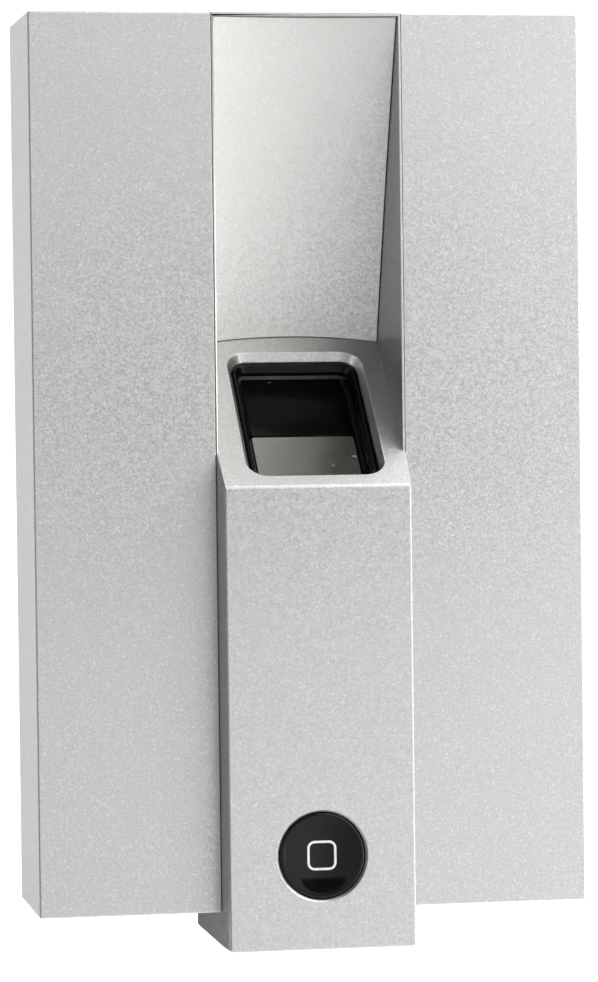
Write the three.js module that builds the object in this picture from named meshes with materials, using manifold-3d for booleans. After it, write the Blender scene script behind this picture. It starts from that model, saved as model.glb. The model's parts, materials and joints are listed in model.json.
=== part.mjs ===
// Wall-mounted fingerprint access terminal, millimetres, +Z up.
// The wall face of the terminal lies in the plane Y = 0 and everything else stands in front of it, at
// negative Y, so a viewer in front of the terminal looks along +Y with +X to the right.
// The origin is the centre of the case outline on the wall face.
//
// A cast case carries a full-height centre column. The column holds, from the top down, a finger channel
// that deepens towards a slanted head with the optical sensor, and a raised box with the push button.
// The electronics sit behind the column, and a steel cover and a wall bracket close the back.

import * as THREE from 'three';
import { mergeVertices } from 'three/addons/utils/BufferGeometryUtils.js';
import Module from 'manifold-3d';

const wasm = await Module();
wasm.setup();

// ---------------------------------------------------------------- driving dimensions

const GAP = 0.3; // clearance between neighbouring pieces
const CURVE_STEPS = 2; // fineness of round corners

const CASE = { width: 70, height: 112.5, depth: 20.5, wall: 2.2 };
const SLOT_HALF = 12.35; // half width of the case slot that the column fills
const TOP_NOTCH = 3.2; // depth of the slot where it runs out through the top wall

const COLUMN = {
  half: 12.05, // half width at the case front
  frontHalf: 11.8, // half width at the raised front, after draft
  proud: 4.6, // how far the box stands in front of the case
  drop: 4.5, // how far the box reaches below the case
  wall: 1.65,
  skin: 1.6, // thickness of the front, floor and rear walls
  flangeHalf: 13.6, // half width of the flanges behind the case front
  channelHalf: 11.75, // half width between the channel walls
  topBar: 0.65, // height of the thin bar that closes the channel at the top
  back: -3.6, // rear edge of the flanges beside the channel
  boxBack: -10.5, // rear edge of the flanges in front of the main board
};

const HEAD = { angle: THREE.MathUtils.degToRad(42), topZ: -2.9, length: 28.2, skin: 1.9 };
const WINDOW = { x: 0.3, width: 16.56, low: 2.57, high: 24.53, radius: 2.2, chamfer: 0.57, chamferDepth: 1.14 };

const GUIDE = {
  half: 11.45,
  topDepth: 0.35, // depth of the floor edge at the top of the case
  endDepth: 15.1, // depth of the floor edge at the foot of the channel
  endZ: 15.6,
  sag: 1.1, // extra depth on the centre line
  lengthwiseRadius: 540,
  thickness: 0.9,
};

const BUTTON_SIDES = 36;
const BUTTON = { x: 0, z: -49, hole: 5.5, capRadius: 5.25, chamfer: 0.28, dish: 0.55, rimDepth: 0.1 };
const ICON = { size: 3.85, radius: 1.0, line: 0.35 };
const BUTTON_BOARD = { half: 8.6, front: -12.4, back: -11.2 };

const MAIN_BOARD = { half: 31, low: -46, high: -17.5, front: -9.2, back: -7.6 };
const REAR_COVER = { halfWidth: 32.3, halfHeight: 53.5, front: -2.9, back: -1.9 };
const BRACKET = { halfWidth: 25, halfHeight: 51.5, thickness: 1.4 };
const OUTLET = { z: -41, width: 24, height: 12 };
const WALL_FIXING_Z = 30; // the two wall slots are 60 mm apart
const HOOK = { x: 20, z: 45, width: 6 };
const TAMPER = { x: 22, z: -30 };
const LOCK_SCREW_Y = -5.5;

const EAR = { x: 17, z: 44, bossHeight: 2, thickness: 1.8 };
const COVER_BOSS = { x: 28.2, z: 49.3 };
const BOARD_BOSS = { x: 28, lowZ: -42.5, highZ: -21 };
const BUTTON_POST = { x: 6.5, rise: 7.5 };

const SCREW = { shank: 1.2, pilot: 1.5, clearance: 1.6, head: 2.6 };

// values worked out from the driving dimensions
const CASE_FRONT = -CASE.depth;
const BOX_FRONT = CASE_FRONT - COLUMN.proud;
const CASE_TOP = CASE.height / 2;
const BOX_BOTTOM = -CASE_TOP - COLUMN.drop;
const INNER_FRONT = CASE_FRONT + CASE.wall;
const INNER_HALF_WIDTH = CASE.width / 2 - CASE.wall;
const INNER_HALF_HEIGHT = CASE_TOP - CASE.wall;
const COLUMN_INNER = COLUMN.half - COLUMN.wall;
const FLANGE_FRONT = INNER_FRONT + GAP;
const FLANGE_HALF_HEIGHT = INNER_HALF_HEIGHT - 0.35;
const EAR_FRONT = INNER_FRONT + EAR.bossHeight + GAP;
const EAR_BACK = EAR_FRONT + EAR.thickness;
const BOTH_SIDES = [-1, 1];

// Four (X, Z) places, numbered from the lower left.
const fourPlaces = (x, lowZ, highZ) => [lowZ, highZ].flatMap((z) => BOTH_SIDES.map((side) => [side * x, z]));
const EAR_PLACES = fourPlaces(EAR.x, -EAR.z, EAR.z);
const COVER_PLACES = fourPlaces(COVER_BOSS.x, -COVER_BOSS.z, COVER_BOSS.z);
const BOARD_PLACES = fourPlaces(BOARD_BOSS.x, BOARD_BOSS.lowZ, BOARD_BOSS.highZ);
const POST_PLACES = fourPlaces(BUTTON_POST.x, BUTTON.z - BUTTON_POST.rise, BUTTON.z + BUTTON_POST.rise);

// ---------------------------------------------------------------- materials

const material = (color, roughness, metalness, extra = {}) =>
  new THREE.MeshStandardMaterial({ color, roughness, metalness, flatShading: true, ...extra });

const finish = {
  silverPaint: () => material(0xc9cac6, 0.42, 0.55),
  satinPaint: () => material(0xcfd0cb, 0.34, 0.55),
  zincSteel: () => material(0xb4b8ba, 0.38, 0.9),
  screwSteel: () => material(0x9da0a2, 0.3, 1),
  blackGloss: () => material(0x141414, 0.12, 0),
  blackPlastic: () => material(0x1b1b1c, 0.55, 0),
  rubber: () => material(0x222324, 0.85, 0),
  clearGlass: () => material(0xdfe8ea, 0.03, 0, { transparent: true, opacity: 0.3 }),
  greyDiffuser: () => material(0x8c8d8b, 0.3, 0),
  darkFilter: () => material(0x0c0a0a, 0.08, 0),
  circuitGreen: () => material(0x1c5a35, 0.5, 0),
  iconGrey: () => material(0xc4c6c6, 0.35, 0.2),
  chipBlack: () => material(0x232425, 0.6, 0),
  connectorIvory: () => material(0xe6e0cf, 0.5, 0),
  relayBlue: () => material(0x2c4a86, 0.45, 0),
  tinPlate: () => material(0xc7c9c8, 0.25, 1),
  ledClear: () => material(0xdfe6f2, 0.2, 0, { transparent: true, opacity: 0.7 }),
  cableWhite: () => material(0xe4e6e6, 0.5, 0),
};

// ---------------------------------------------------------------- solids from three.js shapes

const AXES = { x: new THREE.Vector3(1, 0, 0), y: new THREE.Vector3(0, 1, 0), z: new THREE.Vector3(0, 0, 1) };

// A closed geometry as a manifold solid, with its faces turned outwards.
function solid(geometry) {
  geometry.deleteAttribute('normal');
  geometry.deleteAttribute('uv');
  const merged = mergeVertices(geometry, 1e-5);
  const points = merged.attributes.position.array;
  const corners = [];
  let volume = 0;
  const at = (i) => new THREE.Vector3().fromArray(points, 3 * i);
  for (let i = 0; i < merged.index.count; i += 3) {
    const [a, b, c] = [0, 1, 2].map((k) => merged.index.array[i + k]);
    if (a === b || b === c || c === a) continue;
    corners.push(a, b, c);
    volume += at(a).dot(at(b).cross(at(c)));
  }
  if (volume < 0) corners.reverse();
  const vertProperties = new Float32Array(points);
  const triVerts = new Uint32Array(corners);
  return new wasm.Manifold(new wasm.Mesh({ numProp: 3, vertProperties, triVerts }));
}

// A box given by its range along each axis.
function block([x0, x1], [y0, y1], [z0, z1]) {
  const geometry = new THREE.BoxGeometry(x1 - x0, y1 - y0, z1 - z0);
  return solid(geometry.translate((x0 + x1) / 2, (y0 + y1) / 2, (z0 + z1) / 2));
}

// A box that is symmetric about X = 0.
const slab = (half, y, z) => block([-half, half], y, z);

function extruded(shape, from, to, basis) {
  const options = { depth: to - from, bevelEnabled: false, curveSegments: CURVE_STEPS };
  const geometry = new THREE.ExtrudeGeometry(shape, options);
  return solid(geometry.translate(0, 0, from).applyMatrix4(basis));
}

const BASIS_ALONG_X = new THREE.Matrix4().makeBasis(AXES.y, AXES.z, AXES.x);
const BASIS_ALONG_Y = new THREE.Matrix4().makeBasis(AXES.x, AXES.z, AXES.y.clone().negate());
const BASIS_ALONG_Z = new THREE.Matrix4();

// A profile drawn in Y and Z, extruded across X.
const acrossX = (shape, x0, x1) => extruded(shape, x0, x1, BASIS_ALONG_X);

// An outline drawn in X and Z, extruded from one Y to a larger one.
const alongY = (shape, y0, y1) => extruded(shape, -y1, -y0, BASIS_ALONG_Y);

// A section drawn in X and Y, extruded up Z.
const upZ = (shape, z0, z1) => extruded(shape, z0, z1, BASIS_ALONG_Z);

const polygon = (...points) => new THREE.Shape(points.map(([a, b]) => new THREE.Vector2(a, b)));

// A rectangle with round corners, centred on (x, y).
function roundedRectangle(width, height, radius, x = 0, y = 0) {
  const [right, top] = [width / 2 - radius, height / 2 - radius];
  const quarter = Math.PI / 2;
  const shape = new THREE.Shape();
  shape.absarc(x + right, y + top, radius, 0, quarter);
  shape.absarc(x - right, y + top, radius, quarter, 2 * quarter);
  shape.absarc(x - right, y - top, radius, 2 * quarter, 3 * quarter);
  shape.absarc(x + right, y - top, radius, 3 * quarter, 4 * quarter);
  return shape;
}

// A slot with round ends, centred on (x, y).
const obround = (length, width, x = 0, y = 0) => roundedRectangle(length, width, width / 2 - 1e-3, x, y);

// A cylinder along Y, or along Z.
function rodY(radius, x, z, y0, y1, sides = 16) {
  const geometry = new THREE.CylinderGeometry(radius, radius, y1 - y0, sides);
  return solid(geometry.translate(x, (y0 + y1) / 2, z));
}

function rodZ(radius, x, y, z0, z1, sides = 16) {
  const geometry = new THREE.CylinderGeometry(radius, radius, z1 - z0, sides).rotateX(Math.PI / 2);
  return solid(geometry.translate(x, y, (z0 + z1) / 2));
}

// A profile of (radius, distance) pairs turned about an axis through (x, y, z) along Y or Z.
function turned(profile, axis, x, y, z, sides = 24) {
  const geometry = new THREE.LatheGeometry(profile.map(([r, d]) => new THREE.Vector2(r, d)), sides);
  if (axis === 'z') geometry.rotateX(Math.PI / 2);
  return solid(geometry.translate(x, y, z));
}

const joined = (...solids) => solids.reduce((sum, piece) => sum.add(piece));
const cut = (body, ...tools) => tools.reduce((rest, tool) => rest.subtract(tool), body);

const terminal = new THREE.Group();

// Adds a solid to the model as a named mesh.
function addPart(name, body, look, parent = terminal) {
  const { vertProperties, triVerts } = body.getMesh();
  const geometry = new THREE.BufferGeometry();
  geometry.setAttribute('position', new THREE.BufferAttribute(vertProperties, 3));
  geometry.setIndex(new THREE.BufferAttribute(triVerts, 1));
  geometry.computeVertexNormals();
  const mesh = new THREE.Mesh(geometry, look);
  mesh.name = name;
  parent.add(mesh);
  return mesh;
}

// ---------------------------------------------------------------- the slanted head's own frame

// In this frame X runs across the head, Y up the slope from the box's front edge, and Z out of the surface.
const headGroup = new THREE.Group();
headGroup.position.set(WINDOW.x, BOX_FRONT, HEAD.topZ);
headGroup.rotation.x = HEAD.angle;
headGroup.updateMatrix();
terminal.add(headGroup);

// The (Y, Z) place of a point on the slope, at a height above the head's surface.
function onSlope(along, height) {
  const point = new THREE.Vector3(0, along, height).applyMatrix4(headGroup.matrix);
  return [point.y, point.z];
}

const WINDOW_LENGTH = WINDOW.high - WINDOW.low;
const WINDOW_MIDDLE = (WINDOW.high + WINDOW.low) / 2;

// An outline drawn on the slope and extruded between two heights, in the head's frame or in the model's.
const onHead = (shape, h0, h1) => extruded(shape, h0, h1, new THREE.Matrix4());
const onHeadInModel = (shape, h0, h1) => extruded(shape, h0, h1, headGroup.matrix);
const windowOutline = (grow) =>
  roundedRectangle(
    WINDOW.width + 2 * grow, WINDOW_LENGTH + 2 * grow, Math.max(WINDOW.radius + grow, 0.4), 0, WINDOW_MIDDLE
  );

// A cutter whose outline widens by the chamfer between two heights and then runs straight out.
function flaredCutter(shape, low, rise, flare, basis) {
  const options = { depth: 3, bevelSize: flare, bevelThickness: rise, bevelSegments: 1, curveSegments: CURVE_STEPS };
  const geometry = new THREE.ExtrudeGeometry(shape, options);
  return solid(geometry.translate(0, 0, low + rise).applyMatrix4(basis));
}

// ---------------------------------------------------------------- case and column

function frontHousing() {
  const outer = slab(CASE.width / 2, [CASE_FRONT, 0], [-CASE_TOP, CASE_TOP]);
  const inside = slab(INNER_HALF_WIDTH, [INNER_FRONT, 1], [-INNER_HALF_HEIGHT, INNER_HALF_HEIGHT]);
  const slot = slab(SLOT_HALF, [CASE_FRONT - 1, CASE_FRONT + TOP_NOTCH], [-CASE_TOP - 1, CASE_TOP + 1]);
  const bottomNotch = slab(SLOT_HALF, [CASE_FRONT - 1, 1], [-CASE_TOP - 1, -INNER_HALF_HEIGHT + 0.5]);
  const bosses = [];
  const pilots = [];
  const addBosses = (places, tip, radius, pilotDepth) => {
    for (const [x, z] of places) {
      bosses.push(rodY(radius, x, z, INNER_FRONT - 0.5, tip));
      pilots.push(rodY(SCREW.pilot, x, z, tip - pilotDepth, tip + 1, 8));
    }
  };
  addBosses(COVER_PLACES, REAR_COVER.front - GAP, 2.8, 8);
  addBosses(EAR_PLACES, INNER_FRONT + EAR.bossHeight, 3, 2.7);
  addBosses(BOARD_PLACES, MAIN_BOARD.front - GAP, 2.8, 6);
  return cut(joined(cut(outer, inside, slot, bottomNotch), ...bosses), ...pilots);
}

// Everything above the slope, from the front of the column to behind its rear edge.
function fingerSpace() {
  const profile = polygon(
    onSlope(-3, 0), onSlope(HEAD.length, 0), [1, HEAD.topZ + HEAD.length * Math.sin(HEAD.angle)],
    [1, CASE_TOP - COLUMN.topBar], [BOX_FRONT - 3, CASE_TOP - COLUMN.topBar]
  );
  return acrossX(profile, -COLUMN.channelHalf, COLUMN.channelHalf);
}

// The space under the slanted wall and behind the box front.
function columnCavity() {
  const front = BOX_FRONT + COLUMN.skin;
  const underSlope = onSlope(HEAD.length + 4, -HEAD.skin);
  const cornerZ = HEAD.topZ + (front - BOX_FRONT) * Math.tan(HEAD.angle) - HEAD.skin / Math.cos(HEAD.angle);
  const floor = BOX_BOTTOM + COLUMN.skin;
  const profile = polygon(
    [front, floor], [-COLUMN.skin, floor], [-COLUMN.skin, -INNER_HALF_HEIGHT - 0.2],
    [1, -INNER_HALF_HEIGHT - 0.2], [1, underSlope[1]], underSlope, [front, cornerZ]
  );
  return acrossX(profile, -COLUMN_INNER, COLUMN_INNER);
}

function columnBody() {
  const section = polygon(
    [-COLUMN.half, 0], [-COLUMN.half, CASE_FRONT], [-COLUMN.frontHalf, BOX_FRONT],
    [COLUMN.frontHalf, BOX_FRONT], [COLUMN.half, CASE_FRONT], [COLUMN.half, 0]
  );
  const full = upZ(section, BOX_BOTTOM, CASE_TOP);
  // side view of the part of the column that passes through the slot
  const barBack = CASE_FRONT + TOP_NOTCH - GAP;
  const inSlot = polygon(
    [BOX_FRONT, BOX_BOTTOM], [0, BOX_BOTTOM], [0, -INNER_HALF_HEIGHT - 0.2],
    [COLUMN.boxBack, -INNER_HALF_HEIGHT - 0.2], [COLUMN.boxBack, MAIN_BOARD.high],
    [COLUMN.back, MAIN_BOARD.high], [COLUMN.back, FLANGE_HALF_HEIGHT], [barBack, FLANGE_HALF_HEIGHT],
    [barBack, CASE_TOP], [CASE_FRONT, CASE_TOP],
    [CASE_FRONT, HEAD.topZ + COLUMN.proud * Math.tan(HEAD.angle)], [BOX_FRONT, HEAD.topZ]
  );
  const core = full.intersect(acrossX(inSlot, -CASE.width, CASE.width));
  const flangeSide = polygon(
    [FLANGE_FRONT, -FLANGE_HALF_HEIGHT], [COLUMN.boxBack, -FLANGE_HALF_HEIGHT],
    [COLUMN.boxBack, MAIN_BOARD.high], [COLUMN.back, MAIN_BOARD.high],
    [COLUMN.back, FLANGE_HALF_HEIGHT], [FLANGE_FRONT, FLANGE_HALF_HEIGHT]
  );
  return joined(core, acrossX(flangeSide, -COLUMN.flangeHalf, COLUMN.flangeHalf));
}

// An opening that runs out through the column's slope, with a flared rim.
function windowCutters() {
  const { chamfer, chamferDepth } = WINDOW;
  return [
    onHeadInModel(windowOutline(0), -2 * HEAD.skin, 0),
    flaredCutter(windowOutline(0), -chamferDepth, chamferDepth, chamfer, headGroup.matrix),
  ];
}

function centerColumn() {
  const shell = cut(columnBody(), fingerSpace(), columnCavity(), ...windowCutters());
  const ears = [];
  const posts = [];
  const holes = [];
  for (const [x, z] of EAR_PLACES) {
    ears.push(alongY(roundedRectangle(8, 7, 1.5, x - Math.sign(x) * 0.8, z), EAR_FRONT, EAR_BACK));
    holes.push(rodY(SCREW.clearance, x, z, CASE_FRONT, COLUMN.back, 12));
  }
  for (const [x, z] of POST_PLACES) {
    posts.push(rodY(1.6, x, z, BOX_FRONT + COLUMN.skin / 2, BUTTON_BOARD.front - GAP, 12));
    holes.push(rodY(0.9, x, z, -17, -12, 8));
  }
  // the ears keep clear of the channel above, and of the cavity below
  const channelWidth = slab(COLUMN.channelHalf, [INNER_FRONT, 0], [EAR.z - 5, EAR.z + 5]);
  const cavityWidth = slab(COLUMN_INNER, [INNER_FRONT, 0], [-EAR.z - 5, -EAR.z + 5]);
  const lockBoss = rodZ(3.6, 0, LOCK_SCREW_Y, BOX_BOTTOM + 0.5, BOX_BOTTOM + 4.25);
  const lockBore = rodZ(1.6, 0, LOCK_SCREW_Y, BOX_BOTTOM - 1, BOX_BOTTOM + 6);
  const lockRecess = rodZ(3, 0, LOCK_SCREW_Y, BOX_BOTTOM - 1, BOX_BOTTOM + 2.15);
  const buttonBore = rodY(BUTTON.hole, BUTTON.x, BUTTON.z, BOX_FRONT - 1, BOX_FRONT + COLUMN.skin + 0.1, BUTTON_SIDES);
  const { hole, chamfer } = BUTTON;
  const buttonFlare = turned(
    [[0, -1], [hole + chamfer + 1, -1], [hole, chamfer], [0, chamfer]],
    'y', BUTTON.x, BOX_FRONT, BUTTON.z, BUTTON_SIDES
  );
  const body = joined(shell, cut(joined(...ears), channelWidth, cavityWidth), ...posts, lockBoss);
  return cut(body, ...holes, lockBore, lockRecess, buttonBore, buttonFlare);
}

// The channel floor: a thin bonded insert, hollow across and slightly hollow along its length.
function fingerGuide() {
  const top = [CASE_FRONT + GUIDE.topDepth, CASE_TOP];
  const foot = [CASE_FRONT + GUIDE.endDepth, GUIDE.endZ];
  const run = Math.hypot(foot[0] - top[0], foot[1] - top[1]);
  const down = [(foot[0] - top[0]) / run, (foot[1] - top[1]) / run];
  const outward = [down[1], -down[0]];
  const offset = ([y, z], along, out) => [
    y + along * down[0] + out * outward[0], z + along * down[1] + out * outward[1],
  ];
  const rear = -(GUIDE.sag + GUIDE.thickness);
  const stock = acrossX(
    polygon(offset(top, -2, 0.4), offset(foot, 4, 0.4), offset(foot, 4, rear), offset(top, -2, rear)),
    -GUIDE.half, GUIDE.half
  );
  // a barrel whose waist radius gives the sag across, and whose belly gives the hollow lengthwise
  const across = (GUIDE.half ** 2 + GUIDE.sag ** 2) / (2 * GUIDE.sag);
  const steps = 8;
  const half = run / 2 + 4;
  const belly = (t) => across + ((run / 2) ** 2 - (t * half) ** 2) / (2 * GUIDE.lengthwiseRadius);
  const wall = Array.from({ length: steps + 1 }, (_, i) => (2 * i) / steps - 1);
  const profile = [[0, -half], ...wall.map((t) => [belly(t), t * half]), [0, half]];
  const barrel = new THREE.LatheGeometry(profile.map(([r, d]) => new THREE.Vector2(r, d)), 128);
  const axisPoint = offset(top, run / 2, across - GUIDE.sag);
  barrel.rotateX(Math.atan2(-down[1], -down[0]));
  barrel.translate(0, ...axisPoint);
  const topTrim = slab(CASE.width, [CASE_FRONT - 5, 0], [CASE_TOP - COLUMN.topBar - GAP, CASE_TOP + 9]);
  const notchTrim = slab(CASE.width, [CASE_FRONT + TOP_NOTCH - GAP, 0], [INNER_HALF_HEIGHT - GAP, CASE_TOP]);
  const underHead = onHeadInModel(roundedRectangle(60, 90, 1), -30, 0.35);
  return cut(stock, solid(barrel), topTrim, notchTrim, underHead);
}

// ---------------------------------------------------------------- back of the terminal

function rearCover() {
  const { front, back, halfWidth, halfHeight } = REAR_COVER;
  const sheet = slab(halfWidth, [front, back], [-halfHeight, halfHeight]);
  const [y0, y1] = [front - 1, back + 1];
  const holes = [alongY(obround(OUTLET.width, OUTLET.height, 0, OUTLET.z), y0, y1)];
  holes.push(rodY(2, TAMPER.x, TAMPER.z, y0, y1));
  for (const side of BOTH_SIDES) {
    holes.push(rodY(4.8, 0, side * WALL_FIXING_Z, y0, y1));
    holes.push(alongY(roundedRectangle(7.2, 6.4, 0.8, side * HOOK.x, HOOK.z + 0.6), y0, y1));
  }
  holes.push(...COVER_PLACES.map(([x, z]) => rodY(1.7, x, z, y0, y1, 12)));
  holes.push(alongY(roundedRectangle(11.2, 2.8, 0.5, 0, -BRACKET.halfHeight + 0.7), y0, y1));
  return cut(sheet, ...holes);
}

function wallBracket() {
  const { halfWidth, halfHeight, thickness } = BRACKET;
  const outline = roundedRectangle(2 * halfWidth, 2 * halfHeight, 3);
  const sheet = alongY(outline, -thickness, 0);
  const lockTab = slab(5, [-9, 0], [-halfHeight, -halfHeight + thickness]);
  const lockHole = rodZ(1.55, 0, LOCK_SCREW_Y, -halfHeight - 1, -halfHeight + thickness + 1, 16);
  const openings = [alongY(obround(OUTLET.width + 4, OUTLET.height + 4, 0, OUTLET.z), -3, 1)];
  openings.push(rodY(2.2, TAMPER.x, TAMPER.z, -3, 1));
  const hooks = [];
  for (const side of BOTH_SIDES) {
    openings.push(alongY(obround(8, 4.4, 0, side * WALL_FIXING_Z), -3, 1));
    // upright windows beside the middle, which make the sheet lighter
    openings.push(alongY(roundedRectangle(9, 34, 3, side * 15.5, 8), -3, 1));
    const [x0, x1] = [side * HOOK.x - HOOK.width / 2, side * HOOK.x + HOOK.width / 2];
    hooks.push(block([x0, x1], [-5.5, 0], [HOOK.z - 1.5, HOOK.z - 1.5 + thickness]));
    hooks.push(block([x0, x1], [-5.5, -5.5 + 1.2], [HOOK.z - 1.5, HOOK.z + 2.8]));
  }
  return cut(joined(cut(sheet, ...openings), lockTab, ...hooks), lockHole);
}

function wallGasket() {
  const [outerX, outerZ] = [INNER_HALF_WIDTH - GAP, INNER_HALF_HEIGHT - GAP - 0.25];
  const ring = alongY(roundedRectangle(2 * outerX, 2 * outerZ, 1), -1.6, 0);
  return cut(ring, alongY(roundedRectangle(2 * outerX - 2.4, 2 * outerZ - 2.4, 0.6), -2, 1));
}

function cableGrommet() {
  const { width, height, z } = OUTLET;
  const sleeve = alongY(obround(width - 2 * GAP, height - 2 * GAP, 0, z), -4.2, -0.6);
  const lip = alongY(obround(width + 2.4, height + 2.4, 0, z), -4.2, REAR_COVER.front - GAP);
  return cut(joined(sleeve, lip), alongY(obround(width - 3.4, height - 3.4, 0, z), -6, 1));
}

// A pan-head screw along Y: the head's underside, then the shank in front of it.
function panScrew(x, z, underHead, length, shankRadius, headRadius, headHeight) {
  const profile = [
    [0, -length], [shankRadius, -length + 0.6], [shankRadius, 0],
    [headRadius, 0], [headRadius, headHeight * 0.55], [headRadius * 0.72, headHeight], [0, headHeight],
  ];
  const body = turned(profile, 'y', x, underHead, z, 12);
  const arm = headRadius * 0.55;
  const [y0, y1] = [underHead + headHeight * 0.45, underHead + headHeight + 1];
  const driveA = block([x - arm, x + arm], [y0, y1], [z - 0.3, z + 0.3]);
  const driveB = block([x - 0.3, x + 0.3], [y0, y1], [z - arm, z + arm]);
  return cut(body, driveA, driveB);
}

function lockScrew() {
  const [headLow, underHead] = [BOX_BOTTOM + 0.45, BOX_BOTTOM + 1.85];
  const tip = -BRACKET.halfHeight + BRACKET.thickness + 0.9;
  const head = rodZ(2.7, 0, LOCK_SCREW_Y, headLow, underHead, 20);
  const shank = rodZ(1.25, 0, LOCK_SCREW_Y, underHead - 0.5, tip, 16);
  const socket = rodZ(1.25, 0, LOCK_SCREW_Y, headLow - 1, headLow + 0.9, 6);
  return cut(joined(head, shank), socket);
}

// ---------------------------------------------------------------- optical sensor, in the head's frame

const STACK_GAP = 0.15; // clearance between the clamped layers of the sensor
const BEZEL = { top: -1.2, ledge: -2.45, flangeTop: -2.1, bottom: -3.5, border: 1.1 };
const GLASS = { top: BEZEL.ledge - STACK_GAP, thickness: 0.9, grow: -0.4 };
const DIFFUSER = { top: BEZEL.bottom - STACK_GAP, thickness: 0.45, half: 6.6, low: 3.6, high: 13 };
const PRISM = { height: -4.3, half: 6.6, low: 3.5, high: 22.5 };
const FILTER = { half: 6.6, low: DIFFUSER.high + GAP, high: 24 };
const LENS_Y = -12.6;

function sensorBezel() {
  const flange = roundedRectangle(19.2, 24.2, 2, 0, 13.4);
  const body = joined(
    onHead(windowOutline(-GAP), BEZEL.flangeTop - 0.2, BEZEL.top), onHead(flange, BEZEL.bottom, BEZEL.flangeTop)
  );
  const aperture = windowOutline(-BEZEL.border);
  return cut(
    body,
    onHead(aperture, BEZEL.bottom - 1, BEZEL.top + 1),
    flaredCutter(aperture, BEZEL.ledge, BEZEL.top - BEZEL.ledge, 0.6, new THREE.Matrix4()),
    onHead(windowOutline(GLASS.grow + GAP), BEZEL.bottom - 1, BEZEL.ledge)
  );
}

const platenGlass = () => onHead(windowOutline(GLASS.grow), GLASS.top - GLASS.thickness, GLASS.top);

// A thin plate under the glass, in the same layer as its neighbour.
function plateUnderGlass({ half, low, high }) {
  const outline = roundedRectangle(2 * half, high - low, 0.4, 0, (low + high) / 2);
  return onHead(outline, DIFFUSER.top - DIFFUSER.thickness, DIFFUSER.top);
}

// the right-angled prism's two ends on the slope, in the model's Y and Z
const PRISM_FOOT = onSlope(PRISM.low, PRISM.height);
const PRISM_TOP = onSlope(PRISM.high, PRISM.height);

function opticalPrism() {
  const profile = polygon(PRISM_FOOT, [PRISM_TOP[0], PRISM_FOOT[1]], PRISM_TOP);
  return acrossX(profile, WINDOW.x - PRISM.half, WINDOW.x + PRISM.half);
}

function sensorCradle() {
  const [floor, back] = [-13, -4.5];
  const foot = onSlope(2.5, BEZEL.bottom - GAP);
  const top = onSlope(24, BEZEL.bottom - GAP);
  const side = 9.6;
  const outline = polygon([foot[0], floor], [back, floor], [back, top[1]], top, foot);
  const body = acrossX(outline, WINDOW.x - side, WINDOW.x + side);
  const pocketHalf = PRISM.half + GAP;
  const pocket = acrossX(
    polygon(
      [foot[0] + 0.7, PRISM_FOOT[1] - GAP], [back + 1, PRISM_FOOT[1] - GAP], [back + 1, 20], [foot[0] + 0.7, 20]
    ),
    WINDOW.x - pocketHalf, WINDOW.x + pocketHalf
  );
  const lensBore = rodZ(4.8, WINDOW.x, LENS_Y, floor - 1, PRISM_FOOT[1], 32);
  return cut(body, pocket, lensBore);
}

function lensBarrel() {
  const profile = [[3, 0], [4.5, 0], [4.5, 5.6], [3.9, 6.2], [3.9, 8.1], [3, 8.1]];
  const ring = [...profile, profile[0]];
  return turned(ring.map(([r, d]) => [r, d - 8.1]), 'z', WINDOW.x, LENS_Y, -4.6);
}

// A lens with two bulging faces, its axis up Z.
function lens(z, radius, edge, bulge) {
  const steps = 3;
  const dome = Array.from({ length: steps + 1 }, (_, i) => i / steps);
  const upper = dome.map((t) => [radius * t, edge / 2 + bulge * (1 - t * t)]);
  const lower = dome.map((t) => [radius * t, -edge / 2 - bulge * (1 - t * t)]).reverse();
  return turned([...upper, ...lower], 'z', WINDOW.x, LENS_Y, z, 16);
}

// ---------------------------------------------------------------- push button

function buttonCap() {
  const { capRadius, dish } = BUTTON;
  const rim = BOX_FRONT + BUTTON.rimDepth;
  const steps = 4;
  const dishRadius = capRadius - 0.3;
  const face = Array.from({ length: steps + 1 }, (_, i) => i / steps);
  const flangeFront = BOX_FRONT + COLUMN.skin + GAP;
  const profile = [
    ...face.map((t) => [dishRadius * t, rim + dish * (1 - t * t)]),
    [capRadius, rim + 0.2], [capRadius, flangeFront], [6.5, flangeFront], [6.5, flangeFront + 0.9],
    [1.5, flangeFront + 0.9], [1.5, -17.5], [0, -17.5],
  ];
  const body = turned(profile, 'y', BUTTON.x, 0, BUTTON.z, BUTTON_SIDES);
  return cut(body, iconRing(0.1, BOX_FRONT - 1, BOX_FRONT + 0.9));
}

// The symbol's outline: a square ring with round corners, wider by the play on every side.
function iconRing(play, y0, y1) {
  const { size, radius, line } = ICON;
  const outline = (grow) => roundedRectangle(size + grow, size + grow, radius + grow / 2, BUTTON.x, BUTTON.z);
  return cut(alongY(outline(2 * play), y0, y1), alongY(outline(-2 * line - 2 * play), y0 - 1, y1 + 1));
}

function buttonCarrier() {
  const [front, back] = [BOX_FRONT + COLUMN.skin + GAP, -15.6];
  const ring = [
    [8.2, front], [8.2, back], [7, back], [7, -19], [1.9, -19], [1.9, -20.2], [7, -20.2], [7, front], [8.2, front],
  ];
  return turned(ring, 'y', BUTTON.x, 0, BUTTON.z);
}

function switchBody() {
  const body = block([-3.1, 3.1], [-16.2, -12.7], [BUTTON.z - 3.1, BUTTON.z + 3.1]);
  return cut(body, rodY(2, BUTTON.x, BUTTON.z, -17, -14.3));
}

function buttonBoard() {
  const { half, front, back } = BUTTON_BOARD;
  const board = slab(half, [front, back], [BUTTON.z - 9.3, BUTTON.z + 9.3]);
  return cut(board, ...POST_PLACES.map(([x, z]) => rodY(1.2, x, z, front - 1.6, back + 1.2, 12)));
}

// ---------------------------------------------------------------- electronics

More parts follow.
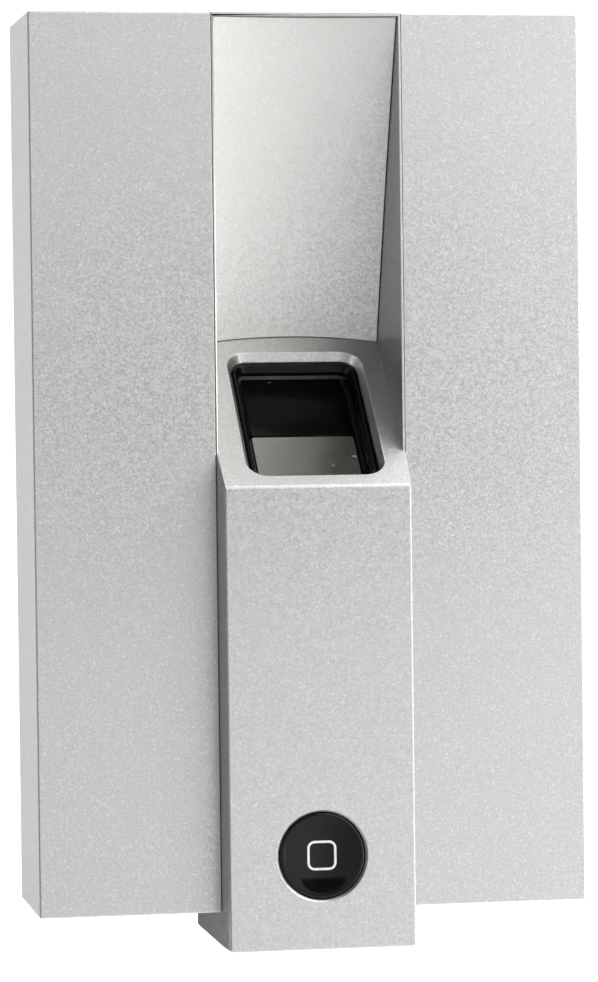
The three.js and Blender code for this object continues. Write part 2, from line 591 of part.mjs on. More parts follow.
function mainBoard() {
  const { half, front, back, low, high } = MAIN_BOARD;
  const board = slab(half, [front, back], [low, high]);
  return cut(board, ...BOARD_PLACES.map(([x, z]) => rodY(SCREW.clearance, x, z, front - 1, back + 1, 12)));
}

// A component of a given size, centred on (x, z), that stands off the board's front or back.
function onBoardFront(x, z, width, height, rise) {
  const base = MAIN_BOARD.front - GAP;
  return block([x - width / 2, x + width / 2], [base - rise, base], [z - height / 2, z + height / 2]);
}

function onBoardBack(x, z, width, height, rise) {
  const base = MAIN_BOARD.back + GAP;
  return block([x - width / 2, x + width / 2], [base, base + rise], [z - height / 2, z + height / 2]);
}

// A connector body: a box with a row of sockets in its outer face.
function wiringHeader() {
  const body = onBoardBack(0, OUTLET.z, 22, 6.4, 2.7);
  const outer = MAIN_BOARD.back + GAP + 2.7;
  const ways = 8;
  const pitch = 2.54;
  const sockets = Array.from({ length: ways }, (_, i) => {
    const x = (i - (ways - 1) / 2) * pitch;
    return block([x - 0.85, x + 0.85], [outer - 1.6, outer + 1], [OUTLET.z - 1.6, OUTLET.z + 1.6]);
  });
  return cut(body, ...sockets);
}

function buzzer() {
  const base = MAIN_BOARD.front - GAP;
  const [x, z] = [-22, -34.4];
  return cut(rodY(5.5, x, z, base - 6.2, base, 32), rodY(1, x, z, base - 7, base - 4.2, 12));
}

function capacitor(x) {
  const base = MAIN_BOARD.front - GAP;
  const profile = [[0, 0], [2.2, 0], [2.2, -6.6], [1.9, -7], [0, -7]];
  return turned(profile, 'y', x, base, BOARD_BOSS.highZ - 0.3, 20);
}

function tamperSwitch() {
  const body = onBoardBack(TAMPER.x, TAMPER.z, 6, 6, 3.7);
  return cut(body, rodY(1.5, TAMPER.x, TAMPER.z, -7, -3));
}

// A flat cable: a smooth line through (Y, Z) points, thickened and extruded across X.
function flatCable(points, thickness, width, x) {
  const line = new THREE.SplineCurve(points.map(([y, z]) => new THREE.Vector2(y, z)));
  const steps = 8;
  const edge = (side) =>
    Array.from({ length: steps + 1 }, (_, i) => {
      const tangent = line.getTangent(i / steps);
      const normal = new THREE.Vector2(-tangent.y, tangent.x);
      return line.getPoint(i / steps).addScaledVector(normal, (side * thickness) / 2);
    });
  return acrossX(new THREE.Shape([...edge(1), ...edge(-1).reverse()]), x - width / 2, x + width / 2);
}

// ---------------------------------------------------------------- assembly

addPart('front_housing', frontHousing(), finish.silverPaint());
addPart('center_column', centerColumn(), finish.silverPaint());
addPart('finger_guide', fingerGuide(), finish.satinPaint());
addPart('rear_cover', rearCover(), finish.zincSteel());
addPart('wall_bracket', wallBracket(), finish.zincSteel());
addPart('wall_gasket', wallGasket(), finish.rubber());
addPart('cable_grommet', cableGrommet(), finish.rubber());

// fasteners, numbered from the lower left
function addScrews(name, places, underHead, length, shank, head, headHeight) {
  for (const [index, [x, z]] of places.entries()) {
    const screw = panScrew(x, z, underHead, length, shank, head, headHeight);
    addPart(`${name}_${index + 1}`, screw, finish.screwSteel());
  }
}
addScrews('rear_cover_screw', COVER_PLACES, REAR_COVER.back + GAP, 7.5, SCREW.shank, SCREW.head, 1.4);
addScrews('column_screw', EAR_PLACES, EAR_BACK + GAP, 4.8, SCREW.shank, SCREW.head, 1.6);
addScrews('board_screw', BOARD_PLACES, MAIN_BOARD.back + GAP, 6.5, SCREW.shank, 2.5, 1.5);
const boardCorners = [POST_PLACES[0], POST_PLACES[3]];
addScrews('button_board_screw', boardCorners, BUTTON_BOARD.back + GAP, 4, 0.6, 1.5, 0.9);
addPart('lock_screw', lockScrew(), finish.screwSteel());

// optical sensor
addPart('sensor_bezel', sensorBezel(), finish.blackGloss(), headGroup);
addPart('platen_glass', platenGlass(), finish.clearGlass(), headGroup);
addPart('light_diffuser', plateUnderGlass(DIFFUSER), finish.greyDiffuser(), headGroup);
addPart('infrared_filter', plateUnderGlass(FILTER), finish.darkFilter(), headGroup);
addPart('optical_prism', opticalPrism(), finish.clearGlass());
addPart('sensor_cradle', sensorCradle(), finish.blackPlastic());
const aroundSensor = (half) => [WINDOW.x - half, WINDOW.x + half];
addPart('led_board', block(aroundSensor(6.4), [-4.1, -3.3], [-2, 7]), finish.circuitGreen());
for (const [index, x] of [-4, 0, 4].entries()) {
  const led = block([WINDOW.x + x - 0.8, WINDOW.x + x + 0.8], [-5.2, -4.4], [1.7, 3.3]);
  addPart(`led_${index + 1}`, led, finish.ledClear());
}
addPart('lens_barrel', lensBarrel(), finish.blackPlastic());
addPart('lens_upper', lens(-6.6, 2.7, 0.7, 0.6), finish.clearGlass());
addPart('lens_lower', lens(-10.4, 2.7, 0.9, 0.4), finish.clearGlass());
addPart('image_sensor', block(aroundSensor(3.5), [LENS_Y - 3.5, LENS_Y + 3.5], [-14.4, -13.3]), finish.chipBlack());
addPart('sensor_board', block(aroundSensor(9.4), [-20.5, -5.5], [-15.9, -14.7]), finish.circuitGreen());

// push button
addPart('button_cap', buttonCap(), finish.blackGloss());
addPart('button_icon', iconRing(0, BOX_FRONT + 0.48, BOX_FRONT + 0.8), finish.iconGrey());
addPart('button_carrier', buttonCarrier(), finish.blackPlastic());
addPart('switch_body', switchBody(), finish.tinPlate());
addPart('switch_plunger', rodY(1.7, BUTTON.x, BUTTON.z, -17.2, -15), finish.blackPlastic());
addPart('button_board', buttonBoard(), finish.circuitGreen());

// main board and what it carries
addPart('main_board', mainBoard(), finish.circuitGreen());
addPart('processor_chip', onBoardFront(-20, -24, 9, 9, 1.2), finish.chipBlack());
addPart('memory_chip', onBoardFront(-4, -29, 5, 4, 1), finish.chipBlack());
addPart('clock_crystal', onBoardFront(5, -29, 4.6, 2.4, 1), finish.tinPlate());
addPart('door_relay', onBoardFront(20, -32.5, 10, 15, 8.2), finish.relayBlue());
addPart('buzzer', buzzer(), finish.blackPlastic());
addPart('capacitor_1', capacitor(17), finish.tinPlate());
addPart('capacitor_2', capacitor(22), finish.tinPlate());
addPart('wiring_header', wiringHeader(), finish.connectorIvory());
addPart('sensor_socket', onBoardFront(WINDOW.x, -22, 12, 4, 1.6), finish.connectorIvory());
addPart('button_socket', onBoardFront(0, -36.6, 7, 3.4, 1.3), finish.connectorIvory());
addPart('sensor_cable', flatCable([[-12, -16.3], [-13.6, -18.2], [-13.6, -20.4], [-11.6, -21.9]], 0.25, 9, WINDOW.x),
  finish.cableWhite());
addPart('button_cable', flatCable([[-11.8, -39.3], [-11.9, -38.2], [-11.6, -37], [-11.25, -36.3]], 0.22, 4.5, 0),
  finish.cableWhite());
addPart('tamper_switch', tamperSwitch(), finish.blackPlastic());
addPart('tamper_plunger', rodY(1.15, TAMPER.x, TAMPER.z, -5.5, -0.05, 20), finish.connectorIvory());

export default terminal;
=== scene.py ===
"""Looks of a wall-mounted fingerprint access terminal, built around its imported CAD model.

+Z is up, the wall face is the plane Y = 0 and the front looks along -Y. The mesh code works in
millimetres and each finished piece is scaled to metres.
"""

import json
import math

import bmesh
import bpy
from mathutils import Matrix, Vector


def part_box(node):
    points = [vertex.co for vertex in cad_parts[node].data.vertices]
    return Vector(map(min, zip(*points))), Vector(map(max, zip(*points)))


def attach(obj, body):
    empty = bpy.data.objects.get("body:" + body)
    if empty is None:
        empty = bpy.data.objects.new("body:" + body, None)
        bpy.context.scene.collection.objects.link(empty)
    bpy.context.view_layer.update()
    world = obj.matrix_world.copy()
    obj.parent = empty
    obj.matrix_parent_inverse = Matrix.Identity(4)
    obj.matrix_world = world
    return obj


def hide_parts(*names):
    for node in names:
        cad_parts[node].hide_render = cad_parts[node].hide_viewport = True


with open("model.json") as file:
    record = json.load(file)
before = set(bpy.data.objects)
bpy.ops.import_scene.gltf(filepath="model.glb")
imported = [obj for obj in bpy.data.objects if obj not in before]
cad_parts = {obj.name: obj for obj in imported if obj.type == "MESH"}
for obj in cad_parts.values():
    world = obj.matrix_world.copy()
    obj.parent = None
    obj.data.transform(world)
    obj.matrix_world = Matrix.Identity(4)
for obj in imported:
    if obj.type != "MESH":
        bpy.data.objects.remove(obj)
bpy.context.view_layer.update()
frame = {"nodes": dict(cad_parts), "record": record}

MM = 0.001
BOTH_SIDES = (-1, 1)


# ------------------------------------------------------------------ places taken from the frame


def box_of(node):
    """A CAD node's lowest and highest corner, in millimetres."""
    low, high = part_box(node)
    return low / MM, high / MM


def centre_of(node):
    """The middle of a CAD node's box, in millimetres."""
    low, high = box_of(node)
    return (low + high) / 2


CASE_LOW, CASE_HIGH = box_of("front_housing")
COLUMN_LOW = box_of("center_column")[0]
BUTTON_PLACE = centre_of("button_cap")
BOX_FRONT = COLUMN_LOW.y
CASE_FRONT = CASE_LOW.y
CASE_WALL = 2.2
BOSS_HOLE = 1.5  # the radius of a screw's hole
INNER_FRONT = CASE_FRONT + CASE_WALL
INNER_BOTTOM = -CASE_HIGH.z + CASE_WALL
BEYOND = 1  # how far a cutting tool reaches past what it cuts
ACROSS = (-40, 40)  # a sweep that is wider than the terminal

# the slanted head, and its window in the head's own frame: across, up the slope, out of the surface
HEAD_ANGLE = math.radians(42)
HEAD_FOOT_Z = -2.9
HEAD_LENGTH = 28.2
HEAD_SKIN = 1.9
SLOPE_TOP_Z = HEAD_FOOT_Z + (CASE_FRONT - BOX_FRONT) * math.tan(HEAD_ANGLE)  # where it meets the case front
WINDOW = {"x": 0.3, "middle": 13.55, "width": 16.56, "length": 21.96, "radius": 2.2}
WINDOW_FLARE = (0.57, 1.14)  # how much wider the rim is, and how deep

# the centre column
COLUMN_HALF = 12.05
COLUMN_FRONT_HALF = 11.8
CHANNEL_HALF = 11.75
SLOT_HALF = 12.1
FLANGE_HALF = 13.6
COLUMN_WALL = 1.65
COLUMN_SKIN = 1.6
TOP_NOTCH = 3.2
TOP_BAR = 0.45

# the channel's floor
GUIDE_HALF = 11.68
GUIDE_SAG = 1.1
GUIDE_LENGTHWISE_RADIUS = 540
GUIDE_TOP_DEPTH = 0.35
GUIDE_FOOT = (15.1, 15.6)  # depth below the case front, and height
GUIDE_THICKNESS = 0.9
GUIDE_LIFT = 0.1  # clearance above the head's surface

BUTTON_HOLE = 5.5
BUTTON_HOLE_CHAMFER = 0.28
BUTTON_DISH = 0.55
BUTTON_RIM = BOX_FRONT + 0.1

# the wall fixing, which the rear cover and the bracket share
WALL_SLOT_Z = 30
HOOK_X = 20

FLOOR_LEVEL = COLUMN_LOW.z * MM - 0.06


# ------------------------------------------------------------------ camera, lights and floor


def add_camera():
    """The photograph's viewing angle: from the left, and almost level."""
    turn, tilt, roll = math.radians(10.329), math.radians(-1.594), math.radians(-0.695)
    aim, distance = Vector((-1.6, -20.5, -3.6)) * MM, 0.483
    rotation = (
        Matrix.Rotation(-turn, 4, "Z")
        @ Matrix.Rotation(math.pi / 2 + tilt, 4, "X")
        @ Matrix.Rotation(roll, 4, "Z")
    )
    forward = rotation @ Vector((0, 0, -1))
    data = bpy.data.cameras.new("camera")
    data.lens = 141.24
    data.sensor_width = 36
    camera = bpy.data.objects.new("camera", data)
    camera.matrix_world = Matrix.Translation(aim - forward * distance) @ rotation
    bpy.context.scene.collection.objects.link(camera)
    bpy.context.scene.camera = camera


def add_area_light(name, place, aim, size, power):
    """A rectangular soft box in metres and watts, facing its aim."""
    data = bpy.data.lights.new(name, "AREA")
    data.shape = "RECTANGLE"
    data.size, data.size_y = size
    data.energy = power
    light = bpy.data.objects.new(name, data)
    light.location = place
    light.rotation_euler = (Vector(aim) - Vector(place)).to_track_quat("-Z", "Y").to_euler()
    bpy.context.scene.collection.objects.link(light)


def add_lights():
    """A tall soft box at the right front, a narrow strip just before it, and a small box above."""
    add_area_light("key_right", (0.44, -0.36, 0.04), (0, -0.02, 0), (0.42, 0.80), 1.2)
    add_area_light("edge_strip", (0.46, -0.30, 0.0), (0, -0.02, 0), (0.07, 0.80), 0.9)
    add_area_light("top", (0.20, -0.10, 0.50), (0, -0.02, 0), (0.36, 0.30), 0.4)


def add_world():
    """A pale studio, as brightness by direction. The paint mirrors it softly, which sets its shades.

    Each ramp runs over one coordinate of the direction, halved: 0 is -1, 0.5 is 0 and 1 is +1.
    """
    world = bpy.data.worlds.new("studio")
    bpy.context.scene.world = world
    world.use_nodes = True
    nodes, links = world.node_tree.nodes, world.node_tree.links
    direction = nodes.new("ShaderNodeSeparateXYZ")
    links.new(nodes.new("ShaderNodeTexCoord").outputs["Generated"], direction.inputs[0])

    def over(axis, *stops):
        return ramp(nodes, links, direction.outputs[axis], stops, (0.5, 0.5))

    def product(first, second):
        return math_node(nodes, links, "MULTIPLY", first, second)

    def total(first, second):
        return math_node(nodes, links, "ADD", first, second)

    # dim on the left, and brightest a little to the right of the middle
    dim_left = [(0.0, 0.12), (0.3, 0.44), (0.4, 0.57), (0.5, 0.74), (0.57, 0.94)]
    bright_right = [(0.62, 1.16), (0.70, 1.3), (0.85, 1.0), (1.0, 0.7)]
    sideways = over("X", *dim_left, *bright_right)
    # a high band that is dark on the left and strong on the right
    band = [(0.62, 0.0), (0.78, 1.0), (0.90, 1.0), (0.98, 0.0)]
    high_band = product(over("Z", *band), over("X", (0.48, 0.0), (0.57, 0.45), (0.61, 2.3)))
    outside_band = over("Z", *[(place, 1 - share) for place, share in band])
    light = product(sideways, total(high_band, outside_band))
    # the wall's side, weaker on the right and from below
    behind = product(over("Y", (0.47, 0.0), (0.62, 0.88)), over("X", (0.42, 1.0), (0.60, 0.3)))
    light = total(light, product(behind, over("Z", (0.30, 0.3), (0.44, 1.0))))
    # a glow from below on the left
    left = over("X", (0.40, 0.50), (0.57, 0.28), (0.66, 0.0))
    light = total(light, product(left, over("Z", (0.17, 1.0), (0.30, 0.0))))
    # the camera itself sees plain white
    seen = nodes.new("ShaderNodeLightPath").outputs["Is Camera Ray"]
    background = nodes["Background"]
    background.inputs["Color"].default_value = (1, 1, 1, 1)
    links.new(math_node(nodes, links, "MAXIMUM", light, seen), background.inputs["Strength"])


def math_node(nodes, links, operation, first, second):
    """A math node's output; each input is a socket or a number."""
    node = nodes.new("ShaderNodeMath")
    node.operation = operation
    for socket, value in zip(node.inputs, (first, second)):
        if isinstance(value, (int, float)):
            socket.default_value = value
        else:
            links.new(value, socket)
    return node.outputs[0]


def ramp(nodes, links, value, stops, offset=(1, 0)):
    """A colour ramp over value * offset[0] + offset[1]; a stop is (place, grey or colour)."""
    shifted = nodes.new("ShaderNodeMath")
    shifted.operation = "MULTIPLY_ADD"
    links.new(value, shifted.inputs[0])
    shifted.inputs[1].default_value, shifted.inputs[2].default_value = offset
    node = nodes.new("ShaderNodeValToRGB")
    links.new(shifted.outputs[0], node.inputs[0])
    elements = node.color_ramp.elements
    for index, (place, shade) in enumerate(stops):
        element = elements[index] if index < 2 else elements.new(place)
        element.position = place
        element.color = (shade,) * 3 + (1,) if isinstance(shade, (int, float)) else (*shade, 1)
    return node.outputs["Color"]


def add_floor():
    """A pale studio floor, well below the terminal, which hangs at its height on a wall."""
    mesh = bpy.data.meshes.new("floor")
    half = 4.0
    corners = [(x, y, FLOOR_LEVEL) for x, y in ((-half, -half), (half, -half), (half, half), (-half, half))]
    mesh.from_pydata(corners, [], [(0, 1, 2, 3)])
    floor = bpy.data.objects.new("floor", mesh)
    bpy.context.scene.collection.objects.link(floor)
    floor.data.materials.append(floor_paint())
    floor.visible_glossy = False


def add_card(name, corners):
    """A black card out of the camera's sight, which only darkens what mirrors it."""
    mesh = bpy.data.meshes.new(name)
    mesh.from_pydata(corners, [], [tuple(range(len(corners)))])
    card = bpy.data.objects.new(name, mesh)
    bpy.context.scene.collection.objects.link(card)
    card.data.materials.append(card_black())
    card.visible_camera = card.visible_diffuse = card.visible_shadow = False


def add_cards():
    """One behind, low on the left, for the nose's side, and one in front for the button's dark crescent."""
    x, near, far = CASE_LOW.x * MM - 0.001, 0.02, 0.45
    top = CASE_LOW.z * MM - 0.0003
    add_card("card_low", [(x, near, FLOOR_LEVEL), (x, far, FLOOR_LEVEL), (x, far, top), (x, near, top)])
    middle, distance, bottom, half, rise = 0.066, -0.38, -0.014, 0.085, 0.056
    turns = [math.pi * step / 16 for step in range(17)]
    dome = [(middle + half * math.cos(t), distance, bottom + rise * math.sin(t)) for t in turns]
    add_card("card_lens", dome)


# ------------------------------------------------------------------ procedural materials


class Look:
    """A material under construction: one Principled shader with its textures in object space."""

    def __init__(self, name, colour, roughness, metallic=0.0, **sockets):
        self.material = bpy.data.materials.new(name)
        self.material.use_nodes = True
        self.nodes = self.material.node_tree.nodes
        self.links = self.material.node_tree.links
        self.shader = self.nodes["Principled BSDF"]
        self.shader.inputs["Base Color"].default_value = (*colour, 1)
        self.shader.inputs["Roughness"].default_value = roughness
        self.shader.inputs["Metallic"].default_value = metallic
        for socket, value in sockets.items():
            self.shader.inputs[socket.replace("_", " ")].default_value = value
        self.place = self.nodes.new("ShaderNodeTexCoord").outputs["Object"]

    def noise(self, size, detail=2.0, stretch=(1, 1, 1)):
        """Smooth noise whose features are about size millimetres, from 0 to 1."""
        mapping = self.nodes.new("ShaderNodeMapping")
        self.links.new(self.place, mapping.inputs["Vector"])
        mapping.inputs["Scale"].default_value = stretch
        node = self.nodes.new("ShaderNodeTexNoise")
        node.inputs["Scale"].default_value = 1 / (size * MM)
        node.inputs["Detail"].default_value = detail
        self.links.new(mapping.outputs[0], node.inputs["Vector"])
        return node.outputs["Fac"]

    def flakes(self, size):
        """A random value from 0 to 1 for each cell about size millimetres across."""
        node = self.nodes.new("ShaderNodeTexVoronoi")
        node.inputs["Scale"].default_value = 1 / (size * MM)
        self.links.new(self.place, node.inputs["Vector"])
        split = self.nodes.new("ShaderNodeSeparateColor")
        self.links.new(node.outputs["Color"], split.inputs[0])
        return split.outputs[0]

    def ramp(self, value, *stops):
        return ramp(self.nodes, self.links, value, stops)

    def mixed(self, share, first, second, blend="MIX"):
        """Two colours mixed by share, each a socket or a colour."""
        node = self.nodes.new("ShaderNodeMix")
        node.data_type = "RGBA"
        node.blend_type = blend
        for socket, value in zip((node.inputs[0], node.inputs[6], node.inputs[7]), (share, first, second)):
            if isinstance(value, (int, float)):
                socket.default_value = value
            elif isinstance(value, tuple):
                socket.default_value = (*value, 1)
            else:
                self.links.new(value, socket)
        return node.outputs[2]

    def colour(self, value):
        self.links.new(value, self.shader.inputs["Base Color"])

    def roughness(self, value, low, high):
        self.links.new(self.ramp(value, (0.25, low), (0.75, high)), self.shader.inputs["Roughness"])

    def bump(self, height, depth):
        """Relief of depth millimetres from a value of 0 to 1."""
        node = self.nodes.new("ShaderNodeBump")
        node.inputs["Distance"].default_value = depth * MM
        self.links.new(height, node.inputs["Height"])
        self.links.new(node.outputs[0], self.shader.inputs["Normal"])


def floor_paint():
    """White, and a little self-lit, so that it runs into the background."""
    look = Look("floor_paint", (0.93, 0.93, 0.93), 0.8)
    look.colour(look.ramp(look.noise(60), (0.3, 0.91), (0.7, 0.94)))
    look.shader.inputs["Emission Color"].default_value = (1, 1, 1, 1)
    look.shader.inputs["Emission Strength"].default_value = 0.45
    return look.material


def card_black():
    look = Look("card_black", (0.01, 0.01, 0.01), 0.9)
    look.colour(look.ramp(look.noise(30), (0.3, 0.008), (0.7, 0.012)))
    return look.material


def metal_paint(name, tint, grain, gloss, relief):
    """Metallic lacquer: a soft base, aluminium flakes that are a little paler with their glints painted in as
    white specks, and a fine orange peel.
    """
    look = Look(name, tint, gloss, 0.9, Specular_Tint=(0.6, 0.6, 0.6, 1))
    dark = tuple(c * (1 - grain) for c in tint)
    pale = tuple(min(1.0, c * (1 + grain)) for c in tint)
    base = look.ramp(look.noise(0.26, 2), (0.3, dark), (0.7, pale))
    clouds = look.ramp(look.noise(14, 2), (0.3, 0.985), (0.7, 1.0))
    base = look.mixed(1.0, base, clouds, "MULTIPLY")
    # painted highlight: a few random flake cells are mixed towards white in the base colour, partly the
    # flakes' own paler tone and partly painted glints that stand in for their sparkle
    flake_tone_and_painted_glints = look.ramp(look.flakes(0.2), (0.9, 0.0), (0.97, 2.8 * grain))
    look.colour(look.mixed(flake_tone_and_painted_glints, base, (1.0, 1.0, 1.0)))
    look.roughness(look.flakes(0.23), gloss - 0.06, gloss + 0.07)
    look.bump(look.noise(0.3, 2), relief)
    return look.material


def silver_paint():
    return metal_paint("silver_paint", (0.60, 0.605, 0.59), 0.10, 0.34, 0.006)


def channel_paint():
    return metal_paint("channel_paint", (0.63, 0.635, 0.615), 0.045, 0.40, 0.003)


def zinc_steel():
    """Galvanised sheet: a crystalline spangle and faint rolling lines."""
    look = Look("zinc_steel", (0.48, 0.50, 0.51), 0.38, 0.9)
    spangle = look.ramp(look.flakes(3.2), (0.0, (0.40, 0.42, 0.43)), (1.0, (0.53, 0.55, 0.56)))
    lines = look.ramp(look.noise(0.5, 3, (1, 1, 0.05)), (0.3, 0.93), (0.7, 1.0))
    look.colour(look.mixed(1.0, spangle, lines, "MULTIPLY"))
    look.roughness(look.noise(2.5, 3), 0.28, 0.48)
    look.bump(look.noise(0.4, 3, (1, 1, 0.05)), 0.004)
    return look.material


def screw_steel():
    """Plated steel with fine turning marks."""
    look = Look("screw_steel", (0.50, 0.50, 0.49), 0.3, 1.0)
    look.colour(look.ramp(look.noise(0.6, 4), (0.3, (0.40, 0.40, 0.39)), (0.7, (0.56, 0.56, 0.55))))
    look.roughness(look.noise(0.35, 3), 0.22, 0.4)
    look.bump(look.noise(0.2, 3), 0.004)
    return look.material


def rubber_black():
    look = Look("rubber_black", (0.02, 0.02, 0.021), 0.8)
    look.colour(look.ramp(look.noise(1.2, 4), (0.3, (0.016, 0.016, 0.017)), (0.75, (0.032, 0.032, 0.033))))
    look.roughness(look.noise(0.8, 3), 0.7, 0.9)
    look.bump(look.noise(0.25, 3), 0.012)
    return look.material


def bezel_black():
    """Polished black moulding with the faint haze that handling leaves."""
    look = Look("bezel_black", (0.003, 0.003, 0.003), 0.1, IOR=1.25)
    look.colour(look.ramp(look.noise(5, 3), (0.3, 0.0022), (0.75, 0.004)))
    look.roughness(look.noise(1.6, 4), 0.06, 0.15)
    look.bump(look.noise(0.6, 2), 0.0008)
    return look.material


def button_black():
    """Glossy black cap with a very fine moulded waviness."""
    look = Look("button_black", (0.003, 0.003, 0.003), 0.06, IOR=1.34)
    look.colour(look.ramp(look.noise(4, 3), (0.3, 0.002), (0.75, 0.0035)))
    look.roughness(look.noise(1.1, 4), 0.05, 0.10)
    look.bump(look.noise(0.7, 2), 0.0008)
    return look.material


def icon_grey():
    look = Look("icon_grey", (0.6, 0.6, 0.6), 0.4)
    look.colour(look.ramp(look.noise(0.5, 3), (0.3, (0.53, 0.53, 0.52)), (0.7, (0.66, 0.66, 0.66))))
    look.roughness(look.noise(0.4, 2), 0.3, 0.45)
    return look.material


def holder_black():
    """Dark engineering plastic with a fine eroded texture."""
    look = Look("holder_black", (0.012, 0.012, 0.012), 0.5)
    look.colour(look.ramp(look.noise(2, 3), (0.3, 0.009), (0.7, 0.016)))
    look.roughness(look.noise(0.5, 3), 0.4, 0.6)
    look.bump(look.noise(0.18, 2), 0.006)
    return look.material


def diffuser_grey():
    """A satin grey facet that mirrors its surroundings softly."""
    look = Look("diffuser_grey", (0.62, 0.61, 0.6), 0.12, 0.95)
    look.colour(look.ramp(look.noise(2.5, 3), (0.3, (0.70, 0.69, 0.68)), (0.7, (0.76, 0.75, 0.74))))
    look.roughness(look.noise(0.7, 3), 0.09, 0.14)
    look.bump(look.noise(0.2, 2), 0.001)
    return look.material


def filter_black():
    """Infrared-pass acrylic, polished, with faint flow marks."""
    look = Look("filter_black", (0.002, 0.002, 0.002), 0.1, IOR=1.2)
    look.colour(look.ramp(look.noise(5, 3), (0.3, 0.0015), (0.75, 0.003)))
    look.roughness(look.noise(1.4, 3), 0.08, 0.16)
    return look.material


def platen_clear():
    """Thin clear glass: it mirrors by angle, lets the rest straight through, and holds a little dust."""
    look = Look("platen_clear", (0.9, 0.93, 0.92), 0.03, 0.0, IOR=1.42)
    look.roughness(look.noise(2.2, 4), 0.02, 0.07)
    dust = look.ramp(look.flakes(0.5), (0.9992, 0.0), (0.9996, 1.0))
    look.colour(look.mixed(dust, (0.02, 0.02, 0.02), (0.5, 0.5, 0.48)))
    clear = look.nodes.new("ShaderNodeBsdfTransparent")
    clear.inputs["Color"].default_value = (0.88, 0.88, 0.87, 1)
    edge_on = look.nodes.new("ShaderNodeLayerWeight").outputs["Facing"]
    mirror = math_node(look.nodes, look.links, "POWER", edge_on, 4.0)
    mirror = math_node(look.nodes, look.links, "ADD", mirror, 0.03)
    mix = look.nodes.new("ShaderNodeMixShader")
    look.links.new(math_node(look.nodes, look.links, "MAXIMUM", mirror, dust), mix.inputs[0])
    look.links.new(clear.outputs[0], mix.inputs[1])
    look.links.new(look.shader.outputs[0], mix.inputs[2])
    look.links.new(mix.outputs[0], look.nodes["Material Output"].inputs["Surface"])
    return look.material


def prism_clear():
    """Optical acrylic: clear, with faint flow marks."""
    look = Look("prism_clear", (0.80, 0.84, 0.83), 0.04, 0.0, IOR=1.49, Transmission_Weight=0.9)
    look.colour(look.ramp(look.noise(6, 2), (0.3, (0.74, 0.79, 0.78)), (0.7, (0.84, 0.87, 0.86))))
    look.roughness(look.noise(1.5, 3), 0.02, 0.08)
    return look.material


def circuit_green():
    """Solder mask over copper tracks."""
    look = Look("circuit_green", (0.01, 0.09, 0.03), 0.4)
    tracks = look.ramp(look.noise(1.4, 0), (0.47, 0.0), (0.5, 1.0), (0.53, 0.0))
    look.colour(look.mixed(tracks, (0.008, 0.075, 0.028), (0.03, 0.19, 0.07)))
    look.roughness(look.noise(0.6, 3), 0.3, 0.5)
    look.bump(tracks, 0.03)
    return look.material


def moulded(name, colour, roughness, relief):
    """Plain moulded resin with slight colour drift and a fine surface."""
    look = Look(name, colour, roughness)
    dark = tuple(c * 0.88 for c in colour)
    look.colour(look.ramp(look.noise(1.8, 4), (0.3, dark), (0.7, colour)))
    look.roughness(look.noise(0.5, 3), roughness - 0.08, roughness + 0.08)
    look.bump(look.noise(0.2, 2), relief)
    return look.material


def tin_plate():
    look = Look("tin_plate", (0.72, 0.71, 0.69), 0.25, 1.0)
    look.colour(look.ramp(look.noise(1.5, 4), (0.3, (0.62, 0.61, 0.59)), (0.7, (0.76, 0.75, 0.73))))
    look.roughness(look.noise(0.6, 3), 0.18, 0.34)
    look.bump(look.noise(0.3, 3), 0.003)
    return look.material


def led_clear():
    look = Look("led_clear", (0.72, 0.80, 0.90), 0.15, 0.0, IOR=1.5, Transmission_Weight=0.6)
    look.colour(look.ramp(look.noise(0.5, 2), (0.3, (0.64, 0.73, 0.86)), (0.7, (0.78, 0.85, 0.93))))
    look.roughness(look.noise(0.4, 2), 0.1, 0.2)
    return look.material


LOOKS = {
    "silver_paint": silver_paint(),
    "channel_paint": channel_paint(),
    "zinc_steel": zinc_steel(),
    "screw_steel": screw_steel(),
    "rubber_black": rubber_black(),
    "bezel_black": bezel_black(),
    "button_black": button_black(),
    "icon_grey": icon_grey(),
    "holder_black": holder_black(),
    "diffuser_grey": diffuser_grey(),
    "filter_black": filter_black(),
    "platen_clear": platen_clear(),
    "prism_clear": prism_clear(),
    "circuit_green": circuit_green(),
    "chip_black": moulded("chip_black", (0.018, 0.018, 0.019), 0.55, 0.004),
    "relay_blue": moulded("relay_blue", (0.025, 0.07, 0.24), 0.4, 0.003),
    "connector_ivory": moulded("connector_ivory", (0.76, 0.71, 0.58), 0.45, 0.003),
    "cable_white": moulded("cable_white", (0.78, 0.79, 0.79), 0.45, 0.002),
    "tin_plate": tin_plate(),
    "led_clear": led_clear(),
}


# ------------------------------------------------------------------ mesh code


def across_x(y, z, x):
    return x, y, z


def along_y(x, z, y):
    return x, y, z


def up_z(x, y, z):
    return x, y, z


def on_head(x, along, out):
    """A point of the head's own frame, in the model's."""
    cos, sin = math.cos(HEAD_ANGLE), math.sin(HEAD_ANGLE)
    return WINDOW["x"] + x, BOX_FRONT + along * cos - out * sin, HEAD_FOOT_Z + along * sin + out * cos


def new_piece(points, faces):
    """A mesh object in millimetres with its faces turned outwards. place_piece names it."""
    mesh = bpy.data.meshes.new("solid")
    mesh.from_pydata([tuple(p) for p in points], [], faces)
    work = bmesh.new()
    work.from_mesh(mesh)
    bmesh.ops.recalc_face_normals(work, faces=work.faces)
    work.to_mesh(mesh)
    work.free()
    piece = bpy.data.objects.new("solid", mesh)
    bpy.context.scene.collection.objects.link(piece)
    return piece


def prism(outline, place, start, end):
    """An outline of (a, b) points swept from start to end; place turns (a, b, sweep) into x, y, z."""
    count = len(outline)
    points = [place(a, b, level) for level in (start, end) for a, b in outline]
    sides = [(i, (i + 1) % count, (i + 1) % count + count, i + count) for i in range(count)]
    return new_piece(points, [tuple(range(count)), tuple(range(count, 2 * count)), *sides])


def block(x, y, z):
    """A box from its ranges along the three axes."""
    return prism([(x[0], y[0]), (x[1], y[0]), (x[1], y[1]), (x[0], y[1])], up_z, *z)


